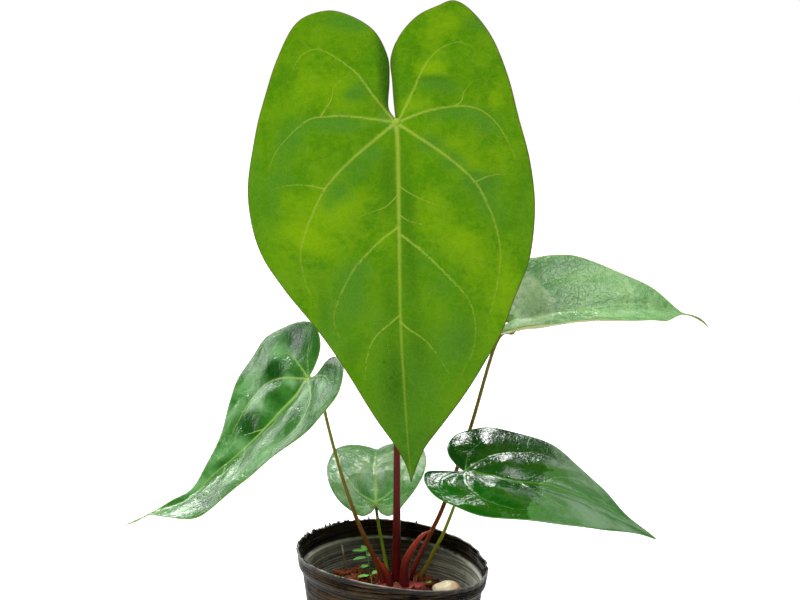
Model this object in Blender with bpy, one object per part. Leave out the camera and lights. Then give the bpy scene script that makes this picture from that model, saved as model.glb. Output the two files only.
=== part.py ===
"""A potted anthurium: a young heart-leaved plant in a thin black nursery pot.

The script works in millimetres and writes metres. The origin is the middle of the pot's underside, +Z is up,
and -Y is the side that the largest blade faces. Everything above the pot is placed from the level of the
potting mix.
"""

import math

import bmesh
import bpy
import numpy as np
from mathutils import Vector
from mathutils.geometry import delaunay_2d_cdt

MM = 0.001

# Clearance that keeps touching pieces from sharing a face
GAP = 0.3

# Nursery pot: turned thin plastic, with a wider collar above a ledge
POT_HEIGHT = 104.0
POT_RIM_RADIUS = 60.0
POT_BASE_RADIUS = 45.0
POT_WALL = 0.8
POT_FLOOR = 1.4
COLLAR_HEIGHT = 12.0
COLLAR_STEP = 1.9
LEDGE_DEPTH = 2.0
POT_SIDES = 48
DRAIN_HOLES = 8
DRAIN_RADIUS = 4.0
DRAIN_CIRCLE_INSET = 11.0

# The soft rim has slumped: it stands low on its +X side and high at the front left
RIM_SLUMP = (
    # waves round the rim, cosine part, sine part
    (1, -6.9, -1.8),
    (2, -1.8, 0.9),
)

# Potting mix: depth of its surface below the rim, and two heaps on it
MIX_BELOW_RIM = 33.0
HEAPS = (
    # x, y, height, spread
    (5.0, 2.5, 8.0, 13.0),
    (-23.0, 15.0, 15.0, 11.5),
)

# Crown: the short stem, with a flat top that all stalks stand on
CROWN_CENTRE = (5.5, 2.5)
CROWN_RADII = (15.5, 10.5)
CROWN_TOP = 13.0
CROWN_DEPTH = 16.0

# Blades
BLADE_THICKNESS = 0.7
KNEE_LENGTH = 10.0

# Spacing of the blade's triangles, which only the smoothness depends on
BLADE_SPACING = 10.5


# ---------------------------------------------------------------- scene and materials

for old in list(bpy.data.objects):
    bpy.data.objects.remove(old, do_unlink=True)


def material(name, colour, roughness):
    finish = bpy.data.materials.new(name)
    finish.use_nodes = True
    shader = finish.node_tree.nodes["Principled BSDF"]
    shader.inputs["Base Color"].default_value = (*colour, 1.0)
    shader.inputs["Roughness"].default_value = roughness
    shader.inputs["Metallic"].default_value = 0.0
    return finish


BLACK_PLASTIC = material("black_plastic", (0.012, 0.011, 0.009), 0.35)
COCONUT_COIR = material("coconut_coir", (0.16, 0.035, 0.012), 0.9)
YOUNG_BLADE = material("young_blade", (0.11, 0.27, 0.015), 0.35)
OLD_BLADE = material("old_blade", (0.02, 0.13, 0.02), 0.22)
RED_STALK = material("red_stalk", (0.16, 0.012, 0.014), 0.4)
OLIVE_STALK = material("olive_stalk", (0.15, 0.14, 0.01), 0.4)
CREAM_STONE = material("cream_stone", (0.78, 0.66, 0.38), 0.7)
SEEDLING_GREEN = material("seedling_green", (0.12, 0.5, 0.1), 0.5)
DRY_STRAW = material("dry_straw", (0.3, 0.14, 0.04), 0.8)


def add_object(name, points, faces, finish, smooth=True):
    """One closed solid from points in millimetres, with its faces turned outwards."""
    mesh = bpy.data.meshes.new(name)
    mesh.from_pydata([tuple(float(c) * MM for c in p) for p in points], [], faces)
    shape = bmesh.new()
    shape.from_mesh(mesh)
    bmesh.ops.recalc_face_normals(shape, faces=shape.faces)
    shape.to_mesh(mesh)
    shape.free()
    mesh.materials.append(finish)
    obj = bpy.data.objects.new(name, mesh)
    bpy.context.collection.objects.link(obj)
    if smooth:
        mesh.shade_smooth()
        mesh.set_sharp_from_angle(angle=math.radians(40))
    return obj


def cut(obj, cutter):
    """Takes the cutter's shape out of the object."""
    cutter.hide_render = True
    cutter.display_type = "WIRE"
    step = obj.modifiers.new("cut_" + cutter.name, "BOOLEAN")
    step.operation = "DIFFERENCE"
    step.solver = "EXACT"
    step.object = cutter


# ---------------------------------------------------------------- nursery pot

LEDGE_LEVEL = POT_HEIGHT - COLLAR_HEIGHT
MIX_LEVEL = POT_HEIGHT - MIX_BELOW_RIM


def slump(angle):
    """How far the rim stands above its true height at an angle, in millimetres."""
    return sum(a * math.cos(waves * angle) + b * math.sin(waves * angle) for waves, a, b in RIM_SLUMP)


def pot_outside(level):
    """Outer radius of the pot at a level."""
    cone = POT_BASE_RADIUS + (POT_RIM_RADIUS - COLLAR_STEP - POT_BASE_RADIUS) * level / POT_HEIGHT
    share = min(max((level - LEDGE_LEVEL) / LEDGE_DEPTH, 0.0), 1.0)
    return cone + COLLAR_STEP * share


def pot_inside(level):
    return pot_outside(level) - POT_WALL


def on_pot(radius, level, angle):
    """The point of the slumped pot that a true turned pot would have at this radius, level and angle."""
    height = level * (1.0 + slump(angle) / POT_HEIGHT)
    return (radius * math.cos(angle), radius * math.sin(angle), height)


def turned(profile, sides, place):
    """Points and faces of a closed turned solid whose profile starts and ends on the axis."""
    points = [place(0.0, profile[0][1], 0.0)]
    rings = []
    for radius, level in profile[1:-1]:
        rings.append(len(points))
        points += [place(radius, level, 2 * math.pi * i / sides) for i in range(sides)]
    points.append(place(0.0, profile[-1][1], 0.0))
    last = len(points) - 1
    faces = []
    for i in range(sides):
        j = (i + 1) % sides
        faces.append((0, rings[0] + j, rings[0] + i))
        faces.append((last, rings[-1] + i, rings[-1] + j))
        for low, high in zip(rings, rings[1:]):
            faces.append((low + i, low + j, high + j, high + i))
    return points, faces


def make_pot():
    ledge_top = LEDGE_LEVEL + LEDGE_DEPTH
    outer_levels = (0.0, LEDGE_LEVEL * 0.5, LEDGE_LEVEL, ledge_top, POT_HEIGHT)
    inner_levels = (POT_HEIGHT, ledge_top, LEDGE_LEVEL, LEDGE_LEVEL * 0.5, POT_FLOOR)
    profile = [(0.0, 0.0)]
    profile += [(pot_outside(level), level) for level in outer_levels]
    profile += [(pot_inside(level), level) for level in inner_levels]
    profile.append((0.0, POT_FLOOR))
    points, faces = turned(profile, POT_SIDES, on_pot)
    pot = add_object("nursery_pot", points, faces, BLACK_PLASTIC)

    circle = POT_BASE_RADIUS - DRAIN_CIRCLE_INSET
    for i in range(DRAIN_HOLES):
        angle = 2 * math.pi * (i + 0.5) / DRAIN_HOLES
        centre = (circle * math.cos(angle), circle * math.sin(angle))
        drill = [(0.0, -3.0), (DRAIN_RADIUS, -3.0), (DRAIN_RADIUS, POT_FLOOR + 3.0), (0.0, POT_FLOOR + 3.0)]

        def at_hole(radius, level, turn, centre=centre):
            return (centre[0] + radius * math.cos(turn), centre[1] + radius * math.sin(turn), level)

        points, faces = turned(drill, 12, at_hole)
        cut(pot, add_object(f"drain_drill_{i + 1}", points, faces, BLACK_PLASTIC))


make_pot()


# ---------------------------------------------------------------- potting mix


def mix_surface(x, y):
    """Height of the mix at a place."""
    reach = math.hypot(x, y) / pot_inside(MIX_LEVEL)
    lean = slump(math.atan2(y, x)) * (MIX_LEVEL / POT_HEIGHT) * min(reach, 1.0) ** 2
    heap = sum(
        height * math.exp(-((x - hx) ** 2 + (y - hy) ** 2) / (2 * spread**2))
        for hx, hy, height, spread in HEAPS
    )
    return MIX_LEVEL + lean + heap


def make_mix():
    edge = pot_inside(MIX_LEVEL) - GAP
    floor = POT_FLOOR + GAP
    sides = 40
    shares = [(i / 9) for i in range(1, 10)]
    points = [(0.0, 0.0, mix_surface(0.0, 0.0))]
    for share in shares:
        for i in range(sides):
            angle = 2 * math.pi * i / sides
            x = edge * share * math.cos(angle)
            y = edge * share * math.sin(angle)
            points.append((x, y, mix_surface(x, y)))
    # The side follows the pot's cone; the chords of its few sides stay inside the rounder wall
    for level in (MIX_LEVEL * 0.5, floor):
        for i in range(sides):
            angle = 2 * math.pi * i / sides
            x, y, height = on_pot(pot_inside(level) - GAP, level, angle)
            points.append((x, y, max(height, floor)))
    points.append((0.0, 0.0, floor))
    rows = len(shares) + 2
    faces = []
    for i in range(sides):
        j = (i + 1) % sides
        faces.append((0, 1 + i, 1 + j))
        for row in range(rows - 1):
            a = 1 + row * sides
            b = a + sides
            faces.append((a + i, b + i, b + j, a + j))
        low = 1 + (rows - 1) * sides
        faces.append((len(points) - 1, low + j, low + i))
    return add_object("potting_mix", points, faces, COCONUT_COIR)


potting_mix = make_mix()


# ---------------------------------------------------------------- stalks


def smooth_route(points, steps):
    """A smooth curve through points of any dimension (Catmull-Rom), in steps for each stretch."""
    given = np.array(points, float)
    ends = np.vstack([2 * given[0] - given[1], given, 2 * given[-1] - given[-2]])
    curve = []
    for i in range(1, len(ends) - 2):
        p0, p1, p2, p3 = ends[i - 1 : i + 3]
        for t in np.linspace(0.0, 1.0, steps, endpoint=False):
            curve.append(
                0.5 * (2 * p1 + (p2 - p0) * t + (2 * p0 - 5 * p1 + 4 * p2 - p3) * t**2
                       + (3 * p1 - p0 - 3 * p2 + p3) * t**3)
            )
    curve.append(given[-1])
    return np.array(curve)


def make_stalk(name, route, finish, steps=2, bevel_resolution=1):
    """A round stalk along a route of (x, y, z, radius), z being above the mix's level."""
    track = smooth_route(route, steps)
    line = bpy.data.curves.new(name, "CURVE")
    line.dimensions = "3D"
    line.twist_mode = "MINIMUM"
    line.bevel_mode = "ROUND"
    line.bevel_depth = MM
    line.bevel_resolution = bevel_resolution
    line.use_fill_caps = True
    line.materials.append(finish)
    spline = line.splines.new("POLY")
    spline.points.add(len(track) - 1)
    for point, (x, y, z, radius) in zip(spline.points, track):
        point.co = (x * MM, y * MM, (z + MIX_LEVEL) * MM, 1.0)
        point.radius = max(float(radius), 0.2)
    spline.use_smooth = True
    obj = bpy.data.objects.new(name, line)
    bpy.context.collection.objects.link(obj)
    return obj


# ---------------------------------------------------------------- crown


def make_crown(name, grow):
    """The crown, flat on top; grown by a clearance it is also the cutter of its socket in the mix."""
    top = MIX_LEVEL + CROWN_TOP + grow
    low = MIX_LEVEL + CROWN_TOP - CROWN_DEPTH - grow
    profile = [(0.0, top), (0.97, top), (1.0, top - 2.0), (0.92, (top + low) / 2), (0.55, low), (0.0, low)]

    def place(share, level, angle):
        x = CROWN_CENTRE[0] + (CROWN_RADII[0] + grow) * share * math.cos(angle)
        y = CROWN_CENTRE[1] + (CROWN_RADII[1] + grow) * share * math.sin(angle)
        return (x, y, level)

    points, faces = turned(profile, 20, place)
    return add_object(name, points, faces, RED_STALK)


make_crown("crown", 0.0)
cut(potting_mix, make_crown("crown_socket", GAP))

# Every stalk starts on the crown's flat top
FOOT = CROWN_TOP + GAP
FOOT_LENGTH = 3.2
ABOVE_FOOT = FOOT + FOOT_LENGTH

make_stalk(
    "spear_right",
    [(7.5, -3.0, FOOT, 3.2), (7.4, -3.1, ABOVE_FOOT, 3.2), (7.7, -3.8, 24.0, 3.1), (8.6, -4.2, 30.0, 2.9),
     (11.2, -5.0, 36.6, 2.3), (15.4, -5.0, 43.6, 1.7), (19.6, -4.0, 48.2, 1.1), (24.2, -3.0, 50.4, 0.3)],
    RED_STALK,
)
make_stalk(
    "spear_left",
    [(-1.5, -3.5, FOOT, 2.4), (-1.8, -3.6, ABOVE_FOOT, 2.3), (-3.4, -3.6, 21.5, 1.9), (-6.2, -4.2, 27.0, 1.3),
     (-9.4, -5.0, 32.7, 0.3)],
    RED_STALK,
)


# ---------------------------------------------------------------- blades


def arc(length, start, bending):
    """Where a line ends that starts at an angle and bends evenly, as (along, across)."""
    if abs(bending) < 1e-6:
        return length * math.cos(start), length * math.sin(start)
    end = start + bending * length
    return (math.sin(end) - math.sin(start)) / bending, (math.cos(start) - math.cos(end)) / bending


class Blade:
    """A heart-shaped blade: a flat outline, bent along its midrib and folded across it.

    u runs to the blade's right and v from the stalk to the tip, both measured on the flat blade. `across`
    gives the left and the right half's fold at the midrib and curl at the margin, in degrees, curl being
    positive downwards. Past its length the blade ends in a thread, the drip tip, given as its length and its
    own bend. The pose is the joint's place above the mix, heading, dip below the horizontal and roll.
    """

    def __init__(self, name, length, half_width, bend, lobe_bend, across, twist, sway, joint, heading,
                 dip, roll, right_edge, left_edge, drip=None):
        self.name = name
        self.length = length
        self.half_width = half_width
        self.bend = -math.radians(bend) / length
        self.drip_length, drip_bend = drip or (1.0, 0.0)
        self.drip_bend = -math.radians(drip_bend) / self.drip_length
        self.lobe_bend = math.radians(lobe_bend) / (0.33 * length)
        self.across = across
        self.twist = math.radians(twist) / length
        self.sway = sway
        self.joint = Vector(joint) + Vector((0.0, 0.0, MIX_LEVEL))
        heading, dip, roll = (math.radians(a) for a in (heading, dip, roll))
        ahead = Vector((math.cos(heading), math.sin(heading), 0.0))
        straight_up = Vector((0.0, 0.0, 1.0))
        self.along = ahead * math.cos(dip) - straight_up * math.sin(dip)
        level_up = ahead * math.sin(dip) + straight_up * math.cos(dip)
        level_side = self.along.cross(level_up)
        self.side = level_side * math.cos(roll) + level_up * math.sin(roll)
        self.up = level_up * math.cos(roll) - level_side * math.sin(roll)
        self.right_edge = list(right_edge)
        self.left_edge = list(left_edge)
        if drip:
            end = (0, length + self.drip_length)
            self.right_edge += [(0.8, length + self.drip_length * 0.6), end]
            self.left_edge += [(0.8, length + self.drip_length * 0.6), end]

    def spine(self, v):
        """The midrib's place and slope in the blade's own frame, as (y, z, lean)."""
        if v < 0:
            return (*arc(v, 0.0, self.lobe_bend), self.lobe_bend * v)
        body = min(v, self.length)
        lean = self.bend * body
        y, z = arc(body, 0.0, self.bend)
        if v > body:
            more = arc(v - body, lean, self.drip_bend)
            y += more[0]
            z += more[1]
            lean += self.drip_bend * (v - body)
        return y, z, lean

    def at(self, u, v):
        """The middle of the blade's thickness at a flat place, in millimetres."""
        y, z, lean = self.spine(v)
        side = 1.0 if u >= 0 else -1.0
        fold, curl = self.across[1 if u >= 0 else 0]
        out, lift = arc(abs(u), math.radians(fold), -math.radians(curl) / self.half_width)
        turn = self.twist * v
        x = side * out * math.cos(turn) - lift * math.sin(turn)
        lift = side * out * math.sin(turn) + lift * math.cos(turn)
        x += self.sway[0] * min(max(v / self.length, 0.0), 1.0) ** self.sway[1]
        y -= lift * math.sin(lean)
        z += lift * math.cos(lean)
        return self.joint + self.side * x + self.along * y + self.up * z

    def normal(self, u, v):
        step = 0.5
        du = self.at(u + step, v) - self.at(u - step, v)
        dv = self.at(u, v + step) - self.at(u, v - step)
        return du.cross(dv).normalized()

    def outline(self):
        """The flat outline, from the notch round the right lobe to the tip and back round the left one."""
        right = smooth_route(self.right_edge, 2)
        left = smooth_route(self.left_edge, 2) * (-1.0, 1.0)
        return np.vstack([right, left[-2:0:-1]])


def inside(outline, places):
    """Which places lie inside a closed outline."""
    x, y = places[:, 0], places[:, 1]
    within = np.zeros(len(places), bool)
    for (x1, y1), (x2, y2) in zip(outline, np.roll(outline, -1, axis=0)):
        if y1 == y2:
            continue
        crosses = ((y1 > y) != (y2 > y)) & (x < (x2 - x1) * (y - y1) / (y2 - y1) + x1)
        within ^= crosses
    return within


def distance(outline, places):
    """Distance of each place to a closed outline."""
    nearest = np.full(len(places), np.inf)
    for start, end in zip(outline, np.roll(outline, -1, axis=0)):
        run = end - start
        share = np.clip(((places - start) @ run) / max(run @ run, 1e-9), 0.0, 1.0)
        nearest = np.minimum(nearest, np.hypot(*(places - start - share[:, None] * run).T))
    return nearest


def make_blade(blade, finish):
    """A thin solid: a triangulated flat outline, laid twice on the bent surface and closed at the margin."""
    outline = blade.outline()
    low, high = outline.min(axis=0), outline.max(axis=0)
    grid = []
    for row, v in enumerate(np.arange(low[1], high[1], BLADE_SPACING * 0.87)):
        shift = BLADE_SPACING / 2 if row % 2 else 0.0
        grid += [(u + shift, v) for u in np.arange(low[0], high[0], BLADE_SPACING)]
    grid = np.array(grid)
    grid = grid[inside(outline, grid)]
    grid = grid[distance(outline, grid) > BLADE_SPACING * 0.45]
    flat = [Vector(p) for p in np.vstack([outline, grid])]
    loop = list(range(len(outline)))
    flat, _, triangles, *_ = delaunay_2d_cdt(flat, [], [loop], 1, 1e-5)
    count = len(flat)
    half = BLADE_THICKNESS / 2
    top = []
    under = []
    for u, v in flat:
        middle = blade.at(u, v)
        normal = blade.normal(u, v)
        top.append(middle + normal * half)
        under.append(middle - normal * half)
    faces = [tuple(t) for t in triangles]
    faces += [tuple(i + count for i in reversed(t)) for t in triangles]
    edges = set()
    for a, b, c in triangles:
        edges |= {(a, b), (b, c), (c, a)}
    for a, b in sorted(edges):
        if (b, a) not in edges:
            faces.append((b, a, a + count, b + count))
    return add_object(blade.name, top + under, faces, finish)


def make_petiole(name, blade, route, top_radius, finish):
    """A stalk that ends in a knee, square under the blade's joint."""
    normal = blade.up
    reach = BLADE_THICKNESS / 2 + GAP
    knee = blade.joint - normal * KNEE_LENGTH
    swell = blade.joint - normal * (KNEE_LENGTH * 0.4)
    end = blade.joint - normal * reach
    upper = []
    for place, radius in ((knee, top_radius), (swell, top_radius * 1.25), (end, top_radius * 1.05)):
        upper.append((place.x, place.y, place.z - MIX_LEVEL, radius))
    make_stalk(name, route + upper, finish)


main_blade = Blade(
    "blade_main", length=216, half_width=85, bend=12, lobe_bend=6, across=((5, 14), (5, 14)), twist=0,
    sway=(-9, 2), joint=(2.4, -15, 309), heading=-90, dip=78, roll=0,
    right_edge=[(0, -2), (4, -9), (5, -22), (7, -40), (15, -54), (28, -62), (42, -64), (58, -57), (69, -37),
                (79, -7), (86, 26), (87, 50), (82, 74), (68, 98), (50, 121), (33, 148), (18, 176), (7, 194),
                (2, 206), (0, 216)],
    left_edge=[(0, -2), (-1, -12), (-2, -24), (-3, -37), (2, -50), (12, -61), (24, -67), (34, -70), (45, -63),
               (57, -47), (66, -24), (73, 2), (79, 25), (81, 51), (78, 78), (70, 98), (60, 122), (49, 141),
               (37, 159), (20, 181), (10, 194), (4, 206), (0, 216)],
)
left_blade = Blade(
    "blade_left", length=130, half_width=50, bend=-34, lobe_bend=9, across=((13, 13), (13, 13)), twist=5,
    sway=(10, 5), joint=(-52.3, 3, 148.6), heading=-166.5, dip=56.5, roll=14,
    right_edge=[(0, -1), (3, -11), (8, -21), (18, -28), (30, -26), (48, -14), (60, 5), (57, 28), (43, 47),
                (28, 64), (13, 84), (5, 100), (3, 114), (1, 130)],
    left_edge=[(0, -1), (6, -10), (16, -20), (31, -25), (45, -19), (48, 5), (39, 29), (31, 52), (27, 75),
               (28, 96), (22, 111), (9, 123), (2, 130)],
    drip=(15, -12),
)
right_blade = Blade(
    "blade_right", length=126, half_width=41, bend=29, lobe_bend=12, across=((8, 14), (8, 14)), twist=0,
    sway=(-2, 2), joint=(44.8, -13, 94.1), heading=-11, dip=6, roll=-19,
    right_edge=[(0, -2), (3, -14), (8, -22), (16, -23), (25, -19), (33, -10), (38, 3), (40, 17), (38, 32),
                (32, 52), (26, 70), (20, 87), (11, 102), (5, 115), (0, 126)],
    left_edge=[(0, -1), (6, -8), (12, -13), (20, -15), (32, -11), (42, 1), (46, 18), (45, 36), (41, 51),
               (31, 66), (19, 84), (9, 98), (4, 112), (0, 126)],
)
back_right_blade = Blade(
    "blade_back_right", length=118, half_width=44, bend=24, lobe_bend=6, across=((24, 8), (6, -38)), twist=-8,
    sway=(2, 3), joint=(74.7, 30, 177.5), heading=11, dip=-9.5, roll=-21,
    right_edge=[(0, -2), (4, -14), (12, -23), (24, -24), (34, -14), (36, 4), (34, 24), (32, 44), (30, 62),
                (27, 78), (19, 92), (9, 104), (3, 112), (1, 118)],
    left_edge=[(0, -2), (5, -12), (14, -20), (26, -20), (37, -8), (42, 10), (43, 30), (41, 48), (34, 64),
               (24, 82), (14, 100), (4, 112), (1, 118)],
    drip=(20, 30),
)
small_back_blade = Blade(
    "blade_small_back", length=86, half_width=32, bend=66, lobe_bend=10, across=((18, 14), (18, 14)), twist=0,
    sway=(0, 2), joint=(-10.8, 25, 57.3), heading=92, dip=-39, roll=4,
    right_edge=[(0, -2), (3, -7), (8, -10), (14, -8), (21, -1), (28, 8), (33, 20), (34, 33), (31, 46),
                (25, 58), (16, 70), (7, 80), (0, 86)],
    left_edge=[(0, -2), (3, -6), (9, -9), (17, -5), (25, 2), (30, 12), (32, 26), (30, 38), (27, 49),
               (21, 60), (13, 71), (6, 80), (0, 86)],
)

make_blade(main_blade, YOUNG_BLADE)
for dark_blade in (left_blade, right_blade, back_right_blade, small_back_blade):
    make_blade(dark_blade, OLD_BLADE)

make_petiole(
    "petiole_main", main_blade,
    [(2.5, 4.0, FOOT, 3.6), (2.5, 4.0, ABOVE_FOOT, 3.4), (2.5, 3.0, 28.0, 2.9), (2.6, 1.5, 42.0, 2.6),
     (2.7, 0.0, 62.0, 2.35), (2.8, -1.5, 105.0, 2.1), (2.8, -1.8, 170.0, 2.0), (2.7, -1.8, 240.0, 1.9),
     (2.5, -1.5, 288.0, 1.85)],
    1.9, RED_STALK,
)
make_petiole(
    "petiole_left", left_blade,
    [(-6.0, 2.0, FOOT, 2.0), (-6.6, 2.0, ABOVE_FOOT, 1.9), (-10.9, 2.0, 28.7, 1.65), (-17.3, 2.0, 43.1, 1.45),
     (-23.5, 2.2, 59.0, 1.25), (-32.6, 3.0, 88.0, 1.1), (-40.8, 4.4, 121.0, 1.0)],
    1.0, OLIVE_STALK,
)
make_petiole(
    "petiole_small_back", small_back_blade,
    [(-3.0, 9.0, FOOT, 1.4), (-3.2, 10.0, ABOVE_FOOT, 1.35), (-4.4, 14.5, 22.0, 1.2), (-6.4, 19.0, 31.0, 1.1),
     (-8.6, 24.0, 40.5, 1.0)],
    0.95, OLIVE_STALK,
)
make_petiole(
    "petiole_back_right", back_right_blade,
    [(11.0, 5.5, FOOT, 2.0), (11.7, 5.9, ABOVE_FOOT, 1.9), (16.2, 9.0, 26.4, 1.65), (23.8, 14.0, 41.1, 1.45),
     (33.1, 20.0, 60.0, 1.35), (49.6, 34.5, 105.1, 1.2), (65.2, 33.0, 162.0, 1.1)],
    1.1, RED_STALK,
)
make_petiole(
    "petiole_right", right_blade,
    [(17.0, 6.3, FOOT, 1.5), (17.8, 6.3, ABOVE_FOOT, 1.4), (22.0, 6.0, 23.6, 1.3), (26.8, 5.0, 34.8, 1.2),
     (31.8, 3.6, 45.3, 1.1), (38.2, -1.5, 65.0, 1.0), (41.6, -6.5, 77.0, 0.95)],
    0.95, OLIVE_STALK,
)


# ---------------------------------------------------------------- roots, stone, straw and chips on the mix


def lay_on_mix(name, x, y, size, turn, finish, divisions, lumps):
    """A lumpy closed stone or chip whose lowest point lies a clearance above the mix."""
    shape = bmesh.new()
    bmesh.ops.create_icosphere(shape, subdivisions=divisions, radius=1.0)
    for vert in shape.verts:
        p = vert.co
        wave = sum(depth * math.sin(f * p.x + 1.3 * g * p.y + h * p.z + f) for f, g, h, depth in lumps)
        p *= 1.0 + wave
        flat = Vector((p.x * size[0] / 2, p.y * size[1] / 2, p.z * size[2] / 2))
        vert.co = (
            flat.x * math.cos(turn) - flat.y * math.sin(turn),
            flat.x * math.sin(turn) + flat.y * math.cos(turn),
            flat.z,
        )
    # The piece follows the slope under it, and then sits down until its lowest point nearly touches
    for vert in shape.verts:
        vert.co.z += mix_surface(x + vert.co.x, y + vert.co.y)
    lift = max(mix_surface(x + v.co.x, y + v.co.y) - v.co.z for v in shape.verts) + GAP * 1.6
    points = [(x + v.co.x, y + v.co.y, v.co.z + lift) for v in shape.verts]
    faces = [tuple(v.index for v in f.verts) for f in shape.faces]
    shape.free()
    return add_object(name, points, faces, finish)


STONE_LUMPS = ((2.1, 1.2, 1.7, 0.05), (3.7, -2.2, 2.9, 0.035))
CHIP_LUMPS = ((3.1, 2.2, 1.4, 0.13), (5.3, -2.9, 4.1, 0.08))



def on_mix(reach, bearing):
    """The place (x, y) at a share of the mix's radius and a bearing in degrees from +X."""
    radius = reach * pot_inside(MIX_LEVEL)
    return radius * math.cos(math.radians(bearing)), radius * math.sin(math.radians(bearing))


PEBBLE_PLACE = on_mix(0.69, 20.0)
PEBBLE_SIZE = (19.0, 15.0, 10.5)
lay_on_mix("pebble", *PEBBLE_PLACE, PEBBLE_SIZE, 0.35, CREAM_STONE, 3, STONE_LUMPS)

CHIPS = (
    # reach, bearing, length, turn
    (0.74, 149.5, 9.0, 0.4),
    (0.64, 128.0, 10.0, 2.2),
    (0.53, 170.0, 8.5, 1.2),
    (0.35, 229.5, 9.5, 2.7),
    (0.49, -22.5, 9.0, 0.9),
    (0.63, 48.5, 8.0, 1.8),
    (0.42, -82.0, 9.0, 0.2),
    (0.49, 92.0, 9.0, 2.6),
    (0.72, 189.0, 8.0, 1.6),
    (0.77, -11.5, 8.5, 2.3),
)
CHIP_WIDTH = 0.55
CHIP_HEIGHT = 0.38
for number, (reach, bearing, length, turn) in enumerate(CHIPS, 1):
    size = (length, length * CHIP_WIDTH, length * CHIP_HEIGHT)
    lay_on_mix(f"coir_chip_{number:02d}", *on_mix(reach, bearing), size, turn, COCONUT_COIR, 2, CHIP_LUMPS)


def above_mix(x, y, height):
    """Height over the mix's level of a place that stands a height over its surface."""
    return mix_surface(x, y) - MIX_LEVEL + height


def stand_in_mix(name, x, y, upper, radius, finish):
    """A thin stem that starts a clearance above the mix and runs through the upper points."""
    foot = above_mix(x, y, GAP + 0.5)
    route = [(x, y, foot, radius), (x, y, foot + 1.5, radius)]
    route += [(px, py, above_mix(x, y, height), radius * share) for px, py, height, share in upper]
    make_stalk(name, route, finish, steps=3, bevel_resolution=1)


stand_in_mix(
    "dry_stalk", -29.0, 24.0,
    [(-29.8, 24.3, 5.0, 0.9), (-31.2, 25.0, 9.5, 0.8), (-32.4, 26.0, 16.0, 0.7)], 0.55, DRY_STRAW,
)

# Prop roots arch out of the mix beside the crown and back into it
make_stalk(
    "prop_root_front",
    [(9.5, -11.5, above_mix(9.5, -11.5, 2.2), 1.1), (10.5, -9.9, above_mix(10.5, -9.9, 4.4), 1.3),
     (11.4, -9.2, above_mix(11.4, -9.2, 6.5), 1.1)],
    OLIVE_STALK,
)
make_stalk(
    "prop_root_left",
    [(-17.0, -6.5, above_mix(-17.0, -6.5, 2.6), 0.9), (-14.0, -4.8, above_mix(-14.0, -4.8, 3.8), 1.1),
     (-11.9, -3.6, above_mix(-11.9, -3.6, 3.6), 1.0)],
    RED_STALK,
)


# ---------------------------------------------------------------- seedlings that grow in the mix


def make_leaflet(name, foot, heading, length, width, rise):
    """A small oval leaflet from its foot (x, y, z above the mix's level) along a heading."""
    shape = bmesh.new()
    bmesh.ops.create_icosphere(shape, subdivisions=2, radius=1.0)
    heading = math.radians(heading)
    rise = math.radians(rise)
    along = Vector((math.cos(rise) * math.cos(heading), math.cos(rise) * math.sin(heading), math.sin(rise)))
    side = Vector((-math.sin(heading), math.cos(heading), 0.0))
    up = along.cross(side)
    start = Vector((foot[0], foot[1], foot[2] + MIX_LEVEL)) + along * GAP
    points = []
    for vert in shape.verts:
        p = vert.co
        cup = 0.1 * length * (p.y**2)
        place = start + along * (length * (p.x + 1) / 2) + side * (width / 2 * p.y)
        points.append(place + up * (0.45 * p.z + cup))
    faces = [tuple(v.index for v in f.verts) for f in shape.faces]
    shape.free()
    add_object(name, points, faces, SEEDLING_GREEN)


def make_seedling(name, x, y, upper, leaflets):
    """A thin stem and its leaflets; each leaflet's foot is a point beside the stem."""
    stand_in_mix(name + "_stem", x, y, upper, 0.5, SEEDLING_GREEN)
    for number, (fx, fy, height, heading, length, width, rise) in enumerate(leaflets, 1):
        foot = (fx, fy, above_mix(x, y, height))
        make_leaflet(f"{name}_leaflet_{number}", foot, heading, length, width, rise)


make_seedling(
    "seedling_tall", -14.6, 13.0,
    [(-14.8, 13.1, 5.0, 0.9), (-15.6, 13.8, 10.0, 0.8), (-16.6, 14.6, 15.5, 0.7)],
    [(-17.4, 14.8, 15.6, 186, 7.8, 4.0, 8), (-16.9, 15.6, 15.2, 118, 6.0, 3.6, 20),
     (-16.6, 13.4, 12.0, 190, 8.2, 4.0, -4), (-15.4, 12.4, 7.0, 215, 5.2, 3.9, 0),
     (-15.9, 15.4, 11.6, 70, 5.0, 3.4, 15)],
)
make_seedling(
    "seedling_low", -13.0, 4.6,
    [(-13.4, 5.0, 3.4, 0.9), (-13.8, 5.6, 6.6, 0.8)],
    [(-14.7, 5.4, 6.4, 195, 7.0, 3.4, 2), (-13.2, 6.3, 6.8, 30, 5.2, 3.8, 18)],
)
# The smallest seedling grows beside the pebble
SPROUT_X = PEBBLE_PLACE[0] - 14.0
SPROUT_Y = PEBBLE_PLACE[1] + 5.0
make_seedling(
    "seedling_right", SPROUT_X, SPROUT_Y,
    [(SPROUT_X, SPROUT_Y + 0.1, 3.0, 0.9), (SPROUT_X + 0.1, SPROUT_Y + 0.2, 5.0, 0.8)],
    [(SPROUT_X - 0.7, SPROUT_Y + 0.3, 5.0, 170, 4.0, 2.6, 15),
     (SPROUT_X + 0.9, SPROUT_Y + 0.2, 5.0, 5, 3.6, 2.6, 15)],
)
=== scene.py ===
"""A potted anthurium, finished for the eye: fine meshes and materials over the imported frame.

The script works in millimetres and writes metres. +Z is up, the origin is the middle of the pot's
underside, and -Y is the side that the largest blade faces. Each section makes one piece, or one group.
"""

import math
import random

import bmesh
import bpy
import numpy as np
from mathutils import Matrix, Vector, noise
from mathutils.geometry import delaunay_2d_cdt


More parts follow.
